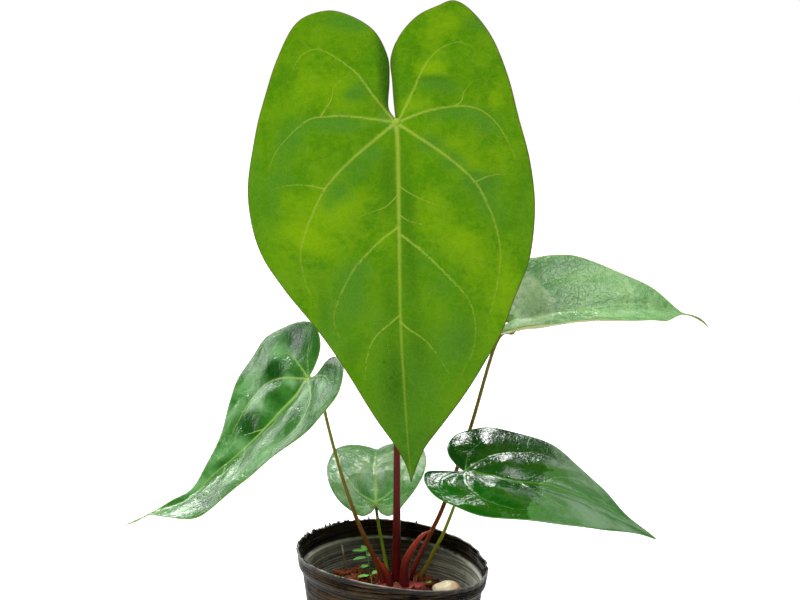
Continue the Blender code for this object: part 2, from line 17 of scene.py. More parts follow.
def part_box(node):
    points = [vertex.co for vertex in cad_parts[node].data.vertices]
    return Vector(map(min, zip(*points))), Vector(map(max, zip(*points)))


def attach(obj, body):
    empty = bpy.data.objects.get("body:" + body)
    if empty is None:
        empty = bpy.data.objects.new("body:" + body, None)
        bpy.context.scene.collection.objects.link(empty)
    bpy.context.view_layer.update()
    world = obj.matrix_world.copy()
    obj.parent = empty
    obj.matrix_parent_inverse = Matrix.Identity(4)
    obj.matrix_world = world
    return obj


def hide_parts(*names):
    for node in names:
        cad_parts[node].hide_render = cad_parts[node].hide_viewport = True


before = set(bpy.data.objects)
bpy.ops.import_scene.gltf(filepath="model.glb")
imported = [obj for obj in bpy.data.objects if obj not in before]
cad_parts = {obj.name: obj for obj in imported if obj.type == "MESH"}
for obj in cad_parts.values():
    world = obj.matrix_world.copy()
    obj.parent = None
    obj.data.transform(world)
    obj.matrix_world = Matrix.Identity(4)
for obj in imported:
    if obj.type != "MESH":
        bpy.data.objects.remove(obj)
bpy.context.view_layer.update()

MM = 0.001


# ---------------------------------------------------------------- nursery pot
# A thin black pot of soft plastic, drawn down over a ribbed former, so that fine ribs run round it inside
# and out. Its wide collar stands on a small ledge, and the rim was torn from the sheet: it is ragged at the
# back and left.

POT_HEIGHT = 104.0
POT_RIM_RADIUS = 60.0
POT_BASE_RADIUS = 45.0
POT_WALL = 0.8
POT_FLOOR = 1.4
COLLAR_HEIGHT = 12.0
COLLAR_STEP = 1.9
LEDGE_DEPTH = 2.0
LEDGE_LEVEL = POT_HEIGHT - COLLAR_HEIGHT
RIM_SLUMP = ((1, -6.9, -1.8), (2, -1.8, 0.9))
RIB_PITCH = 1.8
RIB_HEIGHT = 0.3
POT_SIDES = 256
DRAIN_HOLES = 8
DRAIN_RADIUS = 4.0
DRAIN_CIRCLE = POT_BASE_RADIUS - 11.0
HOLE_SIDES = 20
TORN_BEARING = 150.0
DENTED_BEARING = -5.0
SLIVERS = 70


def build(name, points, faces, **paint):
    """One mesh piece from points in millimetres; its paint is stored at the points for the material."""
    mesh = bpy.data.meshes.new(name)
    mesh.from_pydata((np.asarray(points, float) * MM).tolist(), [], [tuple(int(i) for i in f) for f in faces])
    mesh.update()
    for key, values in paint.items():
        values = np.asarray(values, np.float32)
        flat = values.ndim == 1
        layer = mesh.attributes.new(key, "FLOAT" if flat else "FLOAT_VECTOR", "POINT")
        layer.data.foreach_set("value" if flat else "vector", values.ravel())
    mesh.shade_smooth()
    piece = bpy.data.objects.new(name, mesh)
    bpy.context.scene.collection.objects.link(piece)
    return piece


def ring_faces(start, rows, sides, flip=False):
    """Faces between rows of points that run round, one row after another."""
    faces = []
    for row in range(rows):
        a = start + row * sides
        b = a + sides
        for i in range(sides):
            j = (i + 1) % sides
            faces.append((a + i, b + i, b + j, a + j) if flip else (a + i, a + j, b + j, b + i))
    return faces


def finish(piece, material, slot, *nodes):
    """Gives a piece its material, and sets it on the body in place of its plain nodes."""
    piece.data.materials.clear()
    piece.data.materials.append(material)
    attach(piece, "root")
    if nodes:
        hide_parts(*nodes)


def new_material(name):
    material = bpy.data.materials.new(name)
    material.use_nodes = True
    tree = material.node_tree
    return material, tree, tree.nodes["Principled BSDF"]


def put(tree, kind, inputs, **settings):
    """A node in a tree: an input given as a socket is linked, and any other input is a plain value."""
    node = tree.nodes.new("ShaderNode" + kind)
    for key, value in settings.items():
        setattr(node, key, value)
    for key, value in inputs.items():
        if isinstance(value, bpy.types.NodeSocket):
            tree.links.new(value, node.inputs[key])
        else:
            node.inputs[key].default_value = value
    return node


def between(tree, share, low, high):
    """The colour between two colours, by a share that changes over the surface."""
    low, high = ((*c, 1.0) if isinstance(c, tuple) and len(c) == 3 else c for c in (low, high))
    return put(tree, "Mix", {0: share, 6: low, 7: high}, data_type="RGBA").outputs[2]


def spread(tree, value, low, high, to_low=0.0, to_high=1.0):
    """A value stretched from one range to another, and kept within it."""
    inputs = {"Value": value, "From Min": low, "From Max": high, "To Min": to_low, "To Max": to_high}
    return put(tree, "MapRange", inputs).outputs[0]


def combine(tree, operation, first, second):
    return put(tree, "Math", {0: first, 1: second}, operation=operation).outputs[0]


def times(tree, first, second):
    return combine(tree, "MULTIPLY", first, second)


def cloudy(tree, place, scale, detail=2.0, roughness=0.5):
    """Soft noise between 0 and 1."""
    inputs = {"Vector": place, "Scale": scale, "Detail": detail, "Roughness": roughness}
    return put(tree, "TexNoise", inputs).outputs[0]


def object_place(tree, stretch=None, turned=(0.0, 0.0, 0.0)):
    """The place on the piece, in metres, or that place stretched so that noise on it is drawn out."""
    place = put(tree, "TexCoord", {}).outputs["Object"]
    if stretch is None:
        return place
    return put(tree, "Mapping", {"Vector": place, "Scale": stretch, "Rotation": turned}).outputs[0]


def bumpy(tree, shader, height, distance, strength):
    """Small relief in the light only: a height, its depth in metres, and how strongly it shows."""
    inputs = {"Height": height, "Distance": distance, "Strength": strength}
    tree.links.new(put(tree, "Bump", inputs).outputs[0], shader.inputs["Normal"])


def stored(tree, key, kind="Fac"):
    """A value that the mesh stores at its points."""
    return put(tree, "Attribute", {}, attribute_name=key).outputs[kind]


def slump(angle):
    """How far the soft rim stands above its true height at an angle."""
    return sum(a * np.cos(waves * angle) + b * np.sin(waves * angle) for waves, a, b in RIM_SLUMP)


def pot_outside(level):
    cone = POT_BASE_RADIUS + (POT_RIM_RADIUS - COLLAR_STEP - POT_BASE_RADIUS) * level / POT_HEIGHT
    return cone + COLLAR_STEP * np.clip((level - LEDGE_LEVEL) / LEDGE_DEPTH, 0.0, 1.0)


def pot_inside(level):
    return pot_outside(level) - POT_WALL


def ribs(level):
    """The ribs that the former leaves, with a slow drift in their pitch."""
    fade = np.clip((level - 5.0) / 4.0, 0.0, 1.0) * np.clip((POT_HEIGHT - 1.5 - level) / 1.5, 0.0, 1.0)
    on_ledge = np.exp(-(((level - LEDGE_LEVEL - LEDGE_DEPTH / 2) / 1.6) ** 2))
    wave = np.sin(2 * math.pi * level / RIB_PITCH + 1.1 * np.sin(level * 0.31))
    return RIB_HEIGHT * wave * fade * (1.0 - on_ledge)


def ragged(angle):
    """How far the torn rim stands up or down at an angle; the tears are at the back and on the left."""
    torn = 0.15 + 0.85 * max(0.0, math.cos(angle - math.radians(TORN_BEARING))) ** 1.5
    fine = noise.noise(Vector((math.cos(angle) * 55.0, math.sin(angle) * 55.0, 3.0)))
    coarse = noise.noise(Vector((math.cos(angle) * 16.0, math.sin(angle) * 16.0, 8.0)))
    return torn * (1.5 * max(fine, -0.1) + 0.9 * coarse)


def dented(angle):
    """How far the soft collar is pushed out or in at its rim at an angle; it is most dented on the right."""
    soft = 0.35 + 0.65 * max(0.0, math.cos(angle - math.radians(DENTED_BEARING)))
    wide = noise.noise(Vector((math.cos(angle) * 3.0, math.sin(angle) * 3.0, 1.0)))
    small = noise.noise(Vector((math.cos(angle) * 9.0, math.sin(angle) * 9.0, 5.0)))
    return soft * (1.6 * wide + 1.3 * small)


def make_pot():
    fine = RIB_PITCH / 4
    outer = [0.0, 0.4, 1.0] + list(np.arange(2.0, POT_HEIGHT - 0.5, fine)) + [POT_HEIGHT - 0.3, POT_HEIGHT]
    inner = [POT_HEIGHT - 0.1, POT_HEIGHT - 0.5] + list(np.arange(POT_HEIGHT - 1.0, 50.0, -fine * 1.3))
    inner += list(np.arange(48.0, POT_FLOOR + 1.0, -2.0)) + [POT_FLOOR]
    turns = np.arange(POT_SIDES) * 2 * math.pi / POT_SIDES
    tears = np.array([ragged(a) for a in turns])
    dents = np.array([dented(a) for a in turns])
    rows = []
    film = []
    edge = []
    for side, levels in ((1, outer), (-1, inner)):
        for level in levels:
            corner = 1.6 * max(0.0, 1.0 - level / 1.6) ** 2 if side > 0 else 0.0
            radius = pot_outside(level) + ribs(level) - corner
            if side < 0:
                radius = pot_inside(level) + ribs(level) * 0.8
            lip = np.exp(-(((POT_HEIGHT - level) / 0.9) ** 2))
            radius = radius + dents * max(0.0, (level - LEDGE_LEVEL) / (POT_HEIGHT - LEDGE_LEVEL)) ** 1.5
            radius = radius + side * 0.12 * lip + 0.5 * tears * lip
            height = level * (1.0 + slump(turns) / POT_HEIGHT) + tears * lip
            if side < 0 and level == POT_FLOOR:
                height = np.full(POT_SIDES, POT_FLOOR)
            rows.append(np.stack([radius * np.cos(turns), radius * np.sin(turns), height], 1))
            below = float(side < 0 and level < LEDGE_LEVEL + 1.0)
            # A pale line round the rim and along the ledge inside is a painted highlight
            ledge_highlight = float(side < 0 and abs(level - LEDGE_LEVEL - 0.9) < 0.45)
            wear_and_highlight = math.exp(-(((POT_HEIGHT - level) / 0.35) ** 2)) + ledge_highlight
            edge.append(np.full(POT_SIDES, wear_and_highlight))
            # Pale silt on the inner wall below the ledge, painted stronger at the left and the right as a
            # painted sheen
            film.append(below * (0.1 + 0.9 * np.abs(np.cos(turns + 0.12)) ** 1.8))
    points = list(np.concatenate(rows))
    film = list(np.concatenate(film))
    edge = list(np.concatenate(edge))
    n = POT_SIDES
    faces = ring_faces(0, len(rows) - 1, n)

    # The floor has drain holes: one flat sheet for each of its two sides, and a short wall in each hole
    holes = []
    for k in range(DRAIN_HOLES):
        bearing = 2 * math.pi * (k + 0.5) / DRAIN_HOLES
        middle = np.array([math.cos(bearing), math.sin(bearing)]) * DRAIN_CIRCLE
        around = np.arange(HOLE_SIDES) * 2 * math.pi / HOLE_SIDES
        holes.append(middle + DRAIN_RADIUS * np.stack([np.cos(around), np.sin(around)], 1))
    for row, level, turn in ((0, 0.0, -1), (len(rows) - 1, POT_FLOOR, 1)):
        ring = rows[row][:, :2]
        flat = [Vector(p) for p in np.vstack([ring] + holes)]
        loops = [list(range(n))]
        loops += [list(range(n + HOLE_SIDES * k, n + HOLE_SIDES * (k + 1))) for k in range(DRAIN_HOLES)]
        flat, _, triangles, *_ = delaunay_2d_cdt(flat, [], loops, 0, 1e-5)
        start = len(points)
        points += [(p.x, p.y, level) for p in flat]
        film += [0.0] * len(flat)
        for t in triangles:
            middle = sum((flat[i] for i in t), Vector((0, 0))) / 3
            if min(math.dist(middle, h.mean(axis=0)) for h in holes) > DRAIN_RADIUS * 0.98:
                faces.append(tuple(start + i for i in (t if turn > 0 else reversed(t))))
    for h in holes:
        start = len(points)
        points += [(x, y, level) for level in (0.0, POT_FLOOR) for x, y in h]
        film += [0.0] * (2 * len(h))
        faces += ring_faces(start, 1, HOLE_SIDES, flip=True)

    # Slivers that hang on at the torn stretch of the rim
    chance = random.Random(7)
    for _ in range(SLIVERS):
        angle = math.radians(chance.gauss(TORN_BEARING, 38.0))
        wide = chance.uniform(0.4, 1.1)
        tall = chance.uniform(0.7, 2.4)
        lean = chance.uniform(-0.3, 1.2)
        foot = POT_HEIGHT * (1.0 + slump(angle) / POT_HEIGHT) - 0.6
        radius = pot_outside(POT_HEIGHT) - 0.2
        out = np.array([math.cos(angle), math.sin(angle), 0.0])
        along = np.array([-math.sin(angle), math.cos(angle), 0.0])
        base = out * radius + np.array([0, 0, foot])
        tip = base + np.array([0, 0, tall + 0.6]) + out * lean + along * chance.uniform(-0.7, 0.7)
        start = len(points)
        points += [base - along * wide - out * 0.3, base + along * wide - out * 0.3, base + out * 0.3, tip]
        film += [0.0] * 4
        for a, b, c in ((0, 2, 1), (0, 1, 3), (1, 2, 3), (2, 0, 3)):
            faces.append((start + a, start + b, start + c))
    edge += [0.0] * (len(points) - len(edge))
    return build("pot", points, faces, film=film, edge=edge)


def mend(piece, reach=0.0):
    """Joins points that lie within a reach, and turns every face outward."""
    shape = bmesh.new()
    shape.from_mesh(piece.data)
    if reach:
        bmesh.ops.remove_doubles(shape, verts=shape.verts, dist=reach * MM)
    bmesh.ops.recalc_face_normals(shape, faces=shape.faces)
    shape.to_mesh(piece.data)
    shape.free()


pot = make_pot()
mend(pot, reach=0.01)
pot.data.set_sharp_from_angle(angle=math.radians(50))

black_plastic, tree, shader = new_material("black_plastic")
place = object_place(tree)
bands = cloudy(tree, object_place(tree, (5.0, 5.0, 700.0)), 1.0, 4.0, 0.6)
soil = cloudy(tree, place, 60.0, 6.0, 0.65)
specks = cloudy(tree, place, 900.0)
brown = times(tree, spread(tree, bands, 0.42, 0.68), spread(tree, soil, 0.35, 0.7))
colour = between(tree, brown, (0.004, 0.0034, 0.0028), (0.15, 0.09, 0.036))
# Pale silt inside below the ledge; where it is strongest, at the left and the right, it is a painted sheen
silt_and_sheen = times(tree, stored(tree, "film"), spread(tree, bands, 0.38, 0.6, 0.25, 1.0))
silt_and_sheen = times(tree, silt_and_sheen, spread(tree, soil, 0.25, 0.55, 0.5, 1.0))
colour = between(tree, silt_and_sheen, colour, (0.82, 0.82, 0.72))
# A painted highlight: a pale line along the rim and along the ledge
wear_and_highlight = times(tree, stored(tree, "edge"), spread(tree, soil, 0.4, 0.6, 0.05, 0.75))
colour = between(tree, wear_and_highlight, colour, (0.62, 0.6, 0.52))
tree.links.new(colour, shader.inputs["Base Color"])
dust = spread(tree, soil, 0.3, 0.7, 0.22, 0.4)
shader.inputs["Specular IOR Level"].default_value = 0.25
tree.links.new(dust, shader.inputs["Roughness"])
bumpy(tree, shader, specks, 0.00012, 0.35)
finish(pot, black_plastic, "black_plastic", "nursery_pot")


# ---------------------------------------------------------------- potting mix
# Chopped coconut husk, pressed round the crown in a mound and heaped at the back left. It is a loose fill:
# one rough bed, and over it separate chips of husk and the long fibres that came off them.

MIX_BELOW_RIM = 33.0
MIX_LEVEL = POT_HEIGHT - MIX_BELOW_RIM
CHIPS = 620
FIBRES = 300
HEAPS = ((5.0, 2.5, 8.0, 13.0), (-23.0, 15.0, 15.0, 11.5))


def mix_surface(x, y):
    """Height of the settled mix at a place."""
    reach = min(math.hypot(x, y) / float(pot_inside(MIX_LEVEL)), 1.0)
    lean = float(slump(math.atan2(y, x))) * (MIX_LEVEL / POT_HEIGHT) * reach**2
    heap = sum(h * math.exp(-((x - hx) ** 2 + (y - hy) ** 2) / (2 * s**2)) for hx, hy, h, s in HEAPS)
    return MIX_LEVEL + lean + heap


def make_bed():
    rings, sides = 70, 200
    edge = float(pot_inside(MIX_LEVEL)) - 0.35
    points = [(0.0, 0.0, mix_surface(0, 0))]
    for ring in range(1, rings + 1):
        for i in range(sides):
            angle = 2 * math.pi * i / sides
            x = edge * ring / rings * math.cos(angle)
            y = edge * ring / rings * math.sin(angle)
            lumps = noise.fractal(Vector((x, y, 0.0)) * 0.22, 0.6, 2.1, 5)
            crumbs = abs(noise.noise(Vector((x, y, 4.0)) * 0.9))
            points.append((x, y, mix_surface(x, y) + 1.3 * lumps + 0.9 * crumbs - 0.8))
    for level in (MIX_LEVEL * 0.5, POT_FLOOR + 0.3):
        for i in range(sides):
            angle = 2 * math.pi * i / sides
            radius = float(pot_inside(level)) - 0.4
            height = max(level * (1.0 + float(slump(angle)) / POT_HEIGHT), POT_FLOOR + 0.3)
            points.append((radius * math.cos(angle), radius * math.sin(angle), height))
    points.append((0.0, 0.0, POT_FLOOR + 0.3))
    faces = [(0, 1 + i, 1 + (i + 1) % sides) for i in range(sides)]
    faces += ring_faces(1, rings + 1, sides, flip=True)
    low = 1 + (rings + 1) * sides
    faces += [(len(points) - 1, low + (i + 1) % sides, low + i) for i in range(sides)]
    return build("potting_bed", points, faces)


def chip(middle, size, turns, chance):
    """Points and faces of one husk chip: a small bent block, with worn corners and rough faces."""
    points = []
    index = {}
    faces = []
    cells = (4, 2, 2)
    for axis in range(3):
        a, b = (axis + 1) % 3, (axis + 2) % 3
        for end in (0, cells[axis]):
            grid = {}
            for i in range(cells[a] + 1):
                for j in range(cells[b] + 1):
                    key = [0, 0, 0]
                    key[axis], key[a], key[b] = end, i, j
                    key = tuple(key)
                    if key not in index:
                        index[key] = len(points)
                        unit = np.array([2 * k / c - 1 for k, c in zip(key, cells)])
                        wear_and_highlight = unit / max(1.0, np.linalg.norm(unit) / 1.28)
                        wear_and_highlight = wear_and_highlight + np.array([chance.uniform(-0.16, 0.16) for _ in range(3)])
                        wear_and_highlight[2] += 0.35 * wear_and_highlight[0] ** 2
                        points.append(wear_and_highlight * np.array(size) / 2)
                    grid[i, j] = index[key]
            for i in range(cells[a]):
                for j in range(cells[b]):
                    loop = (grid[i, j], grid[i + 1, j], grid[i + 1, j + 1], grid[i, j + 1])
                    faces.append(loop if end else loop[::-1])
    yaw, pitch, roll = turns
    cy, sy, cp, sp, cr, sr = (f(t) for t in (yaw, pitch, roll) for f in (math.cos, math.sin))
    turn = np.array([[cy, -sy, 0], [sy, cy, 0], [0, 0, 1]])
    turn = turn @ np.array([[cp, 0, sp], [0, 1, 0], [-sp, 0, cp]])
    turn = turn @ np.array([[1, 0, 0], [0, cr, -sr], [0, sr, cr]])
    return np.array(points) @ turn.T + np.array(middle), faces


def join(shapes):
    """Several sets of points and faces as one."""
    points, faces, owner = [], [], []
    for number, (some, loops) in enumerate(shapes):
        start = len(points)
        points += [tuple(p) for p in some]
        faces += [tuple(start + i for i in loop) for loop in loops]
        owner += [number] * len(some)
    return points, faces, np.array(owner)


def in_pot(reach):
    """Radius of the mix at its level, less a clearance."""
    return float(pot_inside(MIX_LEVEL)) - reach


chance = random.Random(11)
shapes = []
for node in [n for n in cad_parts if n.startswith("coir_chip_")]:
    low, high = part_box(node)
    middle = (low + high) / 2 / MM
    length = max(high.x - low.x, high.y - low.y) / MM
    turns = (chance.uniform(0, 6.3), chance.uniform(-0.2, 0.2), chance.uniform(-0.3, 0.3))
    shapes.append(chip(middle, (length, length * 0.5, length * 0.34), turns, chance))
for _ in range(CHIPS):
    radius = in_pot(3.5) * math.sqrt(chance.random())
    angle = chance.uniform(0, 2 * math.pi)
    x, y = radius * math.cos(angle), radius * math.sin(angle)
    length = chance.uniform(2.0, 6.5)
    z = mix_surface(x, y) + chance.uniform(-0.3, 1.3)
    turns = (chance.uniform(0, 6.3), chance.uniform(-0.6, 0.6), chance.uniform(-0.8, 0.8))
    size = (length, length * chance.uniform(0.35, 0.7), length * chance.uniform(0.2, 0.45))
    shapes.append(chip((x, y, z), size, turns, chance))
points, faces, owner = join(shapes)
shade = np.array([chance.random() for _ in shapes])[owner]
husk_chips = build("husk_chips", points, faces, shade=shade)


def smooth_route(points, steps):
    """A smooth curve through points of any dimension (Catmull-Rom), in steps for each stretch."""
    given = np.array(points, float)
    ends = np.vstack([2 * given[0] - given[1], given, 2 * given[-1] - given[-2]])
    curve = []
    for i in range(1, len(ends) - 2):
        p0, p1, p2, p3 = ends[i - 1 : i + 3]
        for t in np.linspace(0.0, 1.0, steps, endpoint=False):
            curve.append(
                0.5 * (2 * p1 + (p2 - p0) * t + (2 * p0 - 5 * p1 + 4 * p2 - p3) * t**2
                       + (3 * p1 - p0 - 3 * p2 + p3) * t**3)
            )
    curve.append(given[-1])
    return np.array(curve)


def tube(track, sides, section=None):
    """Points, faces and share along of a closed tube through (x, y, z, radius), with a shaped section."""
    track = np.asarray(track, float)
    centre, radius = track[:, :3], track[:, 3]
    ahead = np.gradient(centre, axis=0)
    ahead /= np.linalg.norm(ahead, axis=1)[:, None]
    side = np.cross(ahead[0], (0.0, 1.0, 0.0) if abs(ahead[0][1]) < 0.9 else (1.0, 0.0, 0.0))
    run = np.concatenate([[0.0], np.cumsum(np.linalg.norm(np.diff(centre, axis=0), axis=1))])
    points, share = [], []
    turns = np.arange(sides) * 2 * math.pi / sides
    for i, (c, a, r) in enumerate(zip(centre, ahead, radius)):
        side = side - a * (side @ a)
        side /= np.linalg.norm(side)
        other = np.cross(a, side)
        wide = np.full(sides, r) if section is None else r * section(turns, run[i], run[-1])
        points += list(c + wide[:, None] * (np.cos(turns)[:, None] * side + np.sin(turns)[:, None] * other))
        share += [run[i] / run[-1]] * sides
    faces = ring_faces(0, len(track) - 1, sides)
    for end, row, flip in ((centre[0], 0, True), (centre[-1], len(track) - 1, False)):
        points.append(end)
        share.append(float(row > 0))
        tip = len(points) - 1
        for i in range(sides):
            pair = (row * sides + i, row * sides + (i + 1) % sides)
            faces.append((tip, *(pair[::-1] if flip else pair)))
    return np.array(points), faces, share


strands = []
for _ in range(FIBRES):
    radius = in_pot(7.0) * math.sqrt(chance.random())
    angle = chance.uniform(0, 2 * math.pi)
    x, y = radius * math.cos(angle), radius * math.sin(angle)
    heading = chance.uniform(0, 2 * math.pi)
    curl = chance.uniform(-0.16, 0.16)
    rise = chance.uniform(0.3, 1.6)
    steps = chance.randint(5, 11)
    track = []
    for k in range(steps):
        arch = math.sin(math.pi * k / (steps - 1)) * rise
        z = mix_surface(x, y) + 0.9 + arch
        track.append((x, y, z, 0.17 if 0 < k < steps - 1 else 0.08))
        x += 1.1 * math.cos(heading)
        y += 1.1 * math.sin(heading)
        heading += curl + chance.uniform(-0.2, 0.2)
        if math.hypot(x, y) > in_pot(1.5):
            break
    if len(track) > 3:
        some, loops, _ = tube(track, 4)
        strands.append((some, loops))
points, faces, owner = join(strands)
shade = np.array([chance.random() for _ in strands])[owner]
husk_fibres = build("husk_fibres", points, faces, shade=shade)


def plus(tree, first, second):
    return combine(tree, "ADD", first, second)


def husk_material(name, low, high, fibre, bump):
    """Damp coconut husk: reddish brown, drawn out along its fibres, with paler ends."""
    material, tree, shader = new_material(name)
    tone = cloudy(tree, object_place(tree), 140.0, 6.0, 0.7)
    hair = cloudy(tree, object_place(tree, (300.0, 1500.0, 1500.0), (0.3, 0.5, 0.8)), 1.0, 5.0)
    shade = plus(tree, stored(tree, "shade"), tone)
    colour = between(tree, spread(tree, shade, 0.45, 1.5), low, high)
    colour = between(tree, spread(tree, hair, 0.58, 0.75), colour, fibre)
    tree.links.new(colour, shader.inputs["Base Color"])
    tree.links.new(spread(tree, tone, 0.3, 0.7, 0.6, 0.95), shader.inputs["Roughness"])
    height = plus(tree, hair, tone)
    bumpy(tree, shader, height, bump, 0.6)
    return material


damp_husk = husk_material("damp_husk", (0.06, 0.011, 0.003), (0.27, 0.052, 0.014), (0.46, 0.13, 0.04), 0.0008)
dry_fibre = husk_material("dry_fibre", (0.16, 0.05, 0.018), (0.42, 0.16, 0.06), (0.5, 0.24, 0.1), 0.0002)
finish(make_bed(), damp_husk, "coconut_coir", "potting_mix")
finish(husk_chips, damp_husk, "coconut_coir", *[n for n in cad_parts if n.startswith("coir_chip_")])
finish(husk_fibres, dry_fibre, "coconut_coir")


# ---------------------------------------------------------------- blades
# Leathery heart-shaped leaves, half a millimetre thick. Each is one sheet, laid out flat from its outline
# and its veins, and then bent along the midrib, folded across it and quilted: the veins lie in creases, and
# stand out below.

BLADE_THICKNESS = 0.5
CREASE_REACH = 6.5
MARGIN_WAVE_REACH = 7.0
VEIN_RISE_ABOVE = 0.3
VEIN_RISE_BELOW = 0.75
ROW_CELL = 0.34
FIELD_CELL = 0.9


def arc(length, start, bending):
    """Where a line ends that starts at an angle and bends evenly, as (along, across)."""
    bending = bending if abs(bending) > 1e-9 else 1e-9
    end = start + bending * length
    return (np.sin(end) - np.sin(start)) / bending, (np.cos(start) - np.cos(end)) / bending


def to_line(places, line):
    """Distance of each place to a line, and the share of the line's length at the nearest point."""
    nearest = np.full(len(places), np.inf)
    share = np.zeros(len(places))
    run = np.concatenate([[0.0], np.cumsum(np.linalg.norm(np.diff(line, axis=0), axis=1))])
    for i, (start, end) in enumerate(zip(line, line[1:])):
        step = end - start
        t = np.clip(((places - start) @ step) / max(step @ step, 1e-9), 0.0, 1.0)
        away = np.hypot(*(places - start - t[:, None] * step).T)
        closer = away < nearest
        nearest[closer] = away[closer]
        share[closer] = ((run[i] + t * (run[i + 1] - run[i])) / run[-1])[closer]
    return nearest, share


def inside(outline, places):
    """Which places lie inside a closed outline."""
    x, y = places[:, 0], places[:, 1]
    within = np.zeros(len(places), bool)
    for (x1, y1), (x2, y2) in zip(outline, np.roll(outline, -1, axis=0)):
        if y1 != y2:
            within ^= ((y1 > y) != (y2 > y)) & (x < (x2 - x1) * (y - y1) / (y2 - y1) + x1)
    return within


class Blade:
    """A heart-shaped blade: a flat outline with its veins, bent along its midrib and folded across it.

    u runs to the blade's right and v from the stalk to the tip, both measured on the flat blade. `across`
    gives the left and the right half's fold at the midrib and curl at the margin, in degrees. A vein is its
    width at the start, how deep its crease is, and its points. A swell is a soft boss or hollow: u, v, reach,
    height. A patch paints the skin with one kind of tone: u, v, reach along u and v, amount. The tones are
    painted light and shade: lighter patches are painted light and highlights, greyish ones a painted sheen,
    dark ones painted shade, and pale ones a painted reflection and painted light.
    """

    def __init__(
        self, name, length, half_width, bend, lobe_bend, across, twist, sway, joint, heading, dip, roll,
        right_edge, left_edge, veins, swells, patches, notch, wave, quilt, spacing, drip=None,
    ):
        self.name = name
        self.length = length
        self.half_width = half_width
        self.bend = -math.radians(bend) / length
        self.drip_length, drip_bend = drip or (1.0, 0.0)
        self.drip_bend = -math.radians(drip_bend) / self.drip_length
        self.lobe_bend = math.radians(lobe_bend) / (0.33 * length)
        self.across = across
        self.twist = math.radians(twist) / length
        self.sway = sway
        self.joint = np.array(joint, float) + (0.0, 0.0, MIX_LEVEL)
        heading, dip, roll = (math.radians(a) for a in (heading, dip, roll))
        ahead = np.array([math.cos(heading), math.sin(heading), 0.0])
        straight_up = np.array([0.0, 0.0, 1.0])
        self.along = ahead * math.cos(dip) - straight_up * math.sin(dip)
        level_up = ahead * math.sin(dip) + straight_up * math.cos(dip)
        level_side = np.cross(self.along, level_up)
        self.side = level_side * math.cos(roll) + level_up * math.sin(roll)
        self.up = level_up * math.cos(roll) - level_side * math.sin(roll)
        self.right_edge = list(right_edge)
        self.left_edge = list(left_edge)
        if drip:
            end = (0, length + self.drip_length)
            self.right_edge += [(0.8, length + self.drip_length * 0.6), end]
            self.left_edge += [(0.8, length + self.drip_length * 0.6), end]
        self.veins = [(width, crease, smooth_route(points, 8)) for width, crease, points in veins]
        self.swells = swells
        self.patches = patches
        self.notch = notch
        self.wave = wave
        self.quilt = quilt
        self.spacing = spacing
        right = smooth_route(self.right_edge, 12)
        left = smooth_route(self.left_edge, 12) * (-1.0, 1.0)
        self.outline = np.vstack([right, left[-2:0:-1]])
        self.notch_line = np.vstack([left[: 12 * 4][::-1], right[1 : 12 * 4]])

    def at(self, u, v, lift=0.0):
        """Places for flat places, raised by a lift square to the blade."""
        body = np.clip(v, 0.0, self.length)
        lean = self.bend * body
        y, z = arc(body, 0.0, self.bend)
        past = np.maximum(v - self.length, 0.0)
        more = arc(past, lean, self.drip_bend)
        y, z = y + more[0] * (past > 0), z + more[1] * (past > 0)
        lean = lean + self.drip_bend * past
        back = np.minimum(v, 0.0)
        lobe = arc(back, 0.0, self.lobe_bend)
        y, z, lean = y + lobe[0], z + lobe[1], lean + self.lobe_bend * back
        side = np.where(u >= 0, 1.0, -1.0)
        out, rise = np.zeros_like(u), np.zeros_like(u)
        for half, (fold, curl) in zip((-1.0, 1.0), self.across):
            a, b = arc(np.abs(u), math.radians(fold), -math.radians(curl) / self.half_width)
            tilt = math.radians(fold) - math.radians(curl) / self.half_width * np.abs(u)
            own = side == half
            out = np.where(own, a - lift * np.sin(tilt), out)
            rise = np.where(own, b + lift * np.cos(tilt), rise)
        turn = self.twist * v
        x = side * out * np.cos(turn) - rise * np.sin(turn)
        rise = side * out * np.sin(turn) + rise * np.cos(turn)
        x = x + self.sway[0] * np.clip(v / self.length, 0.0, 1.0) ** self.sway[1]
        y = y - rise * np.sin(lean)
        z = z + rise * np.cos(lean)
        return self.joint + np.outer(x, self.side) + np.outer(y, self.along) + np.outer(z, self.up)

    def flat_points(self):
        """Flat places for the mesh: the outline, rows beside each vein, and an even field between them."""
        rows = []
        for width, _, line in self.veins:
            ahead = np.gradient(line, axis=0)
            ahead /= np.linalg.norm(ahead, axis=1)[:, None]
            across = np.stack([-ahead[:, 1], ahead[:, 0]], 1)
            taper = np.linspace(1.0, 0.45, len(line))[:, None] * width
            rows += [line] + [line + across * taper * k for k in (-1.1, -0.5, 0.5, 1.1)]
        rows = np.vstack(rows)
        rows = rows[inside(self.outline, rows)]
        low, high = self.outline.min(axis=0), self.outline.max(axis=0)
        field = []
        for row, v in enumerate(np.arange(low[1], high[1], self.spacing * 0.87)):
            u = np.arange(low[0], high[0], self.spacing) + (self.spacing / 2 if row % 2 else 0.0)
            field.append(np.stack([u, np.full(len(u), v)], 1))
        field = np.vstack(field)
        field = field[inside(self.outline, field)]
        closed = np.vstack([self.outline, self.outline[:1]])
        field = field[to_line(field, closed)[0] > self.spacing * 0.45]
        rows = rows[to_line(rows, closed)[0] > 0.25]

        # One place for each small cell of the rows, and no field places among them
        cells = {}
        for p in rows:
            cells.setdefault((round(p[0] / ROW_CELL), round(p[1] / ROW_CELL)), p)
        rows = np.array(list(cells.values()))
        taken = {(round(p[0] / FIELD_CELL), round(p[1] / FIELD_CELL)) for p in rows}
        free = [(round(p[0] / FIELD_CELL), round(p[1] / FIELD_CELL)) not in taken for p in field]
        return np.vstack([self.outline, rows, field[free]])

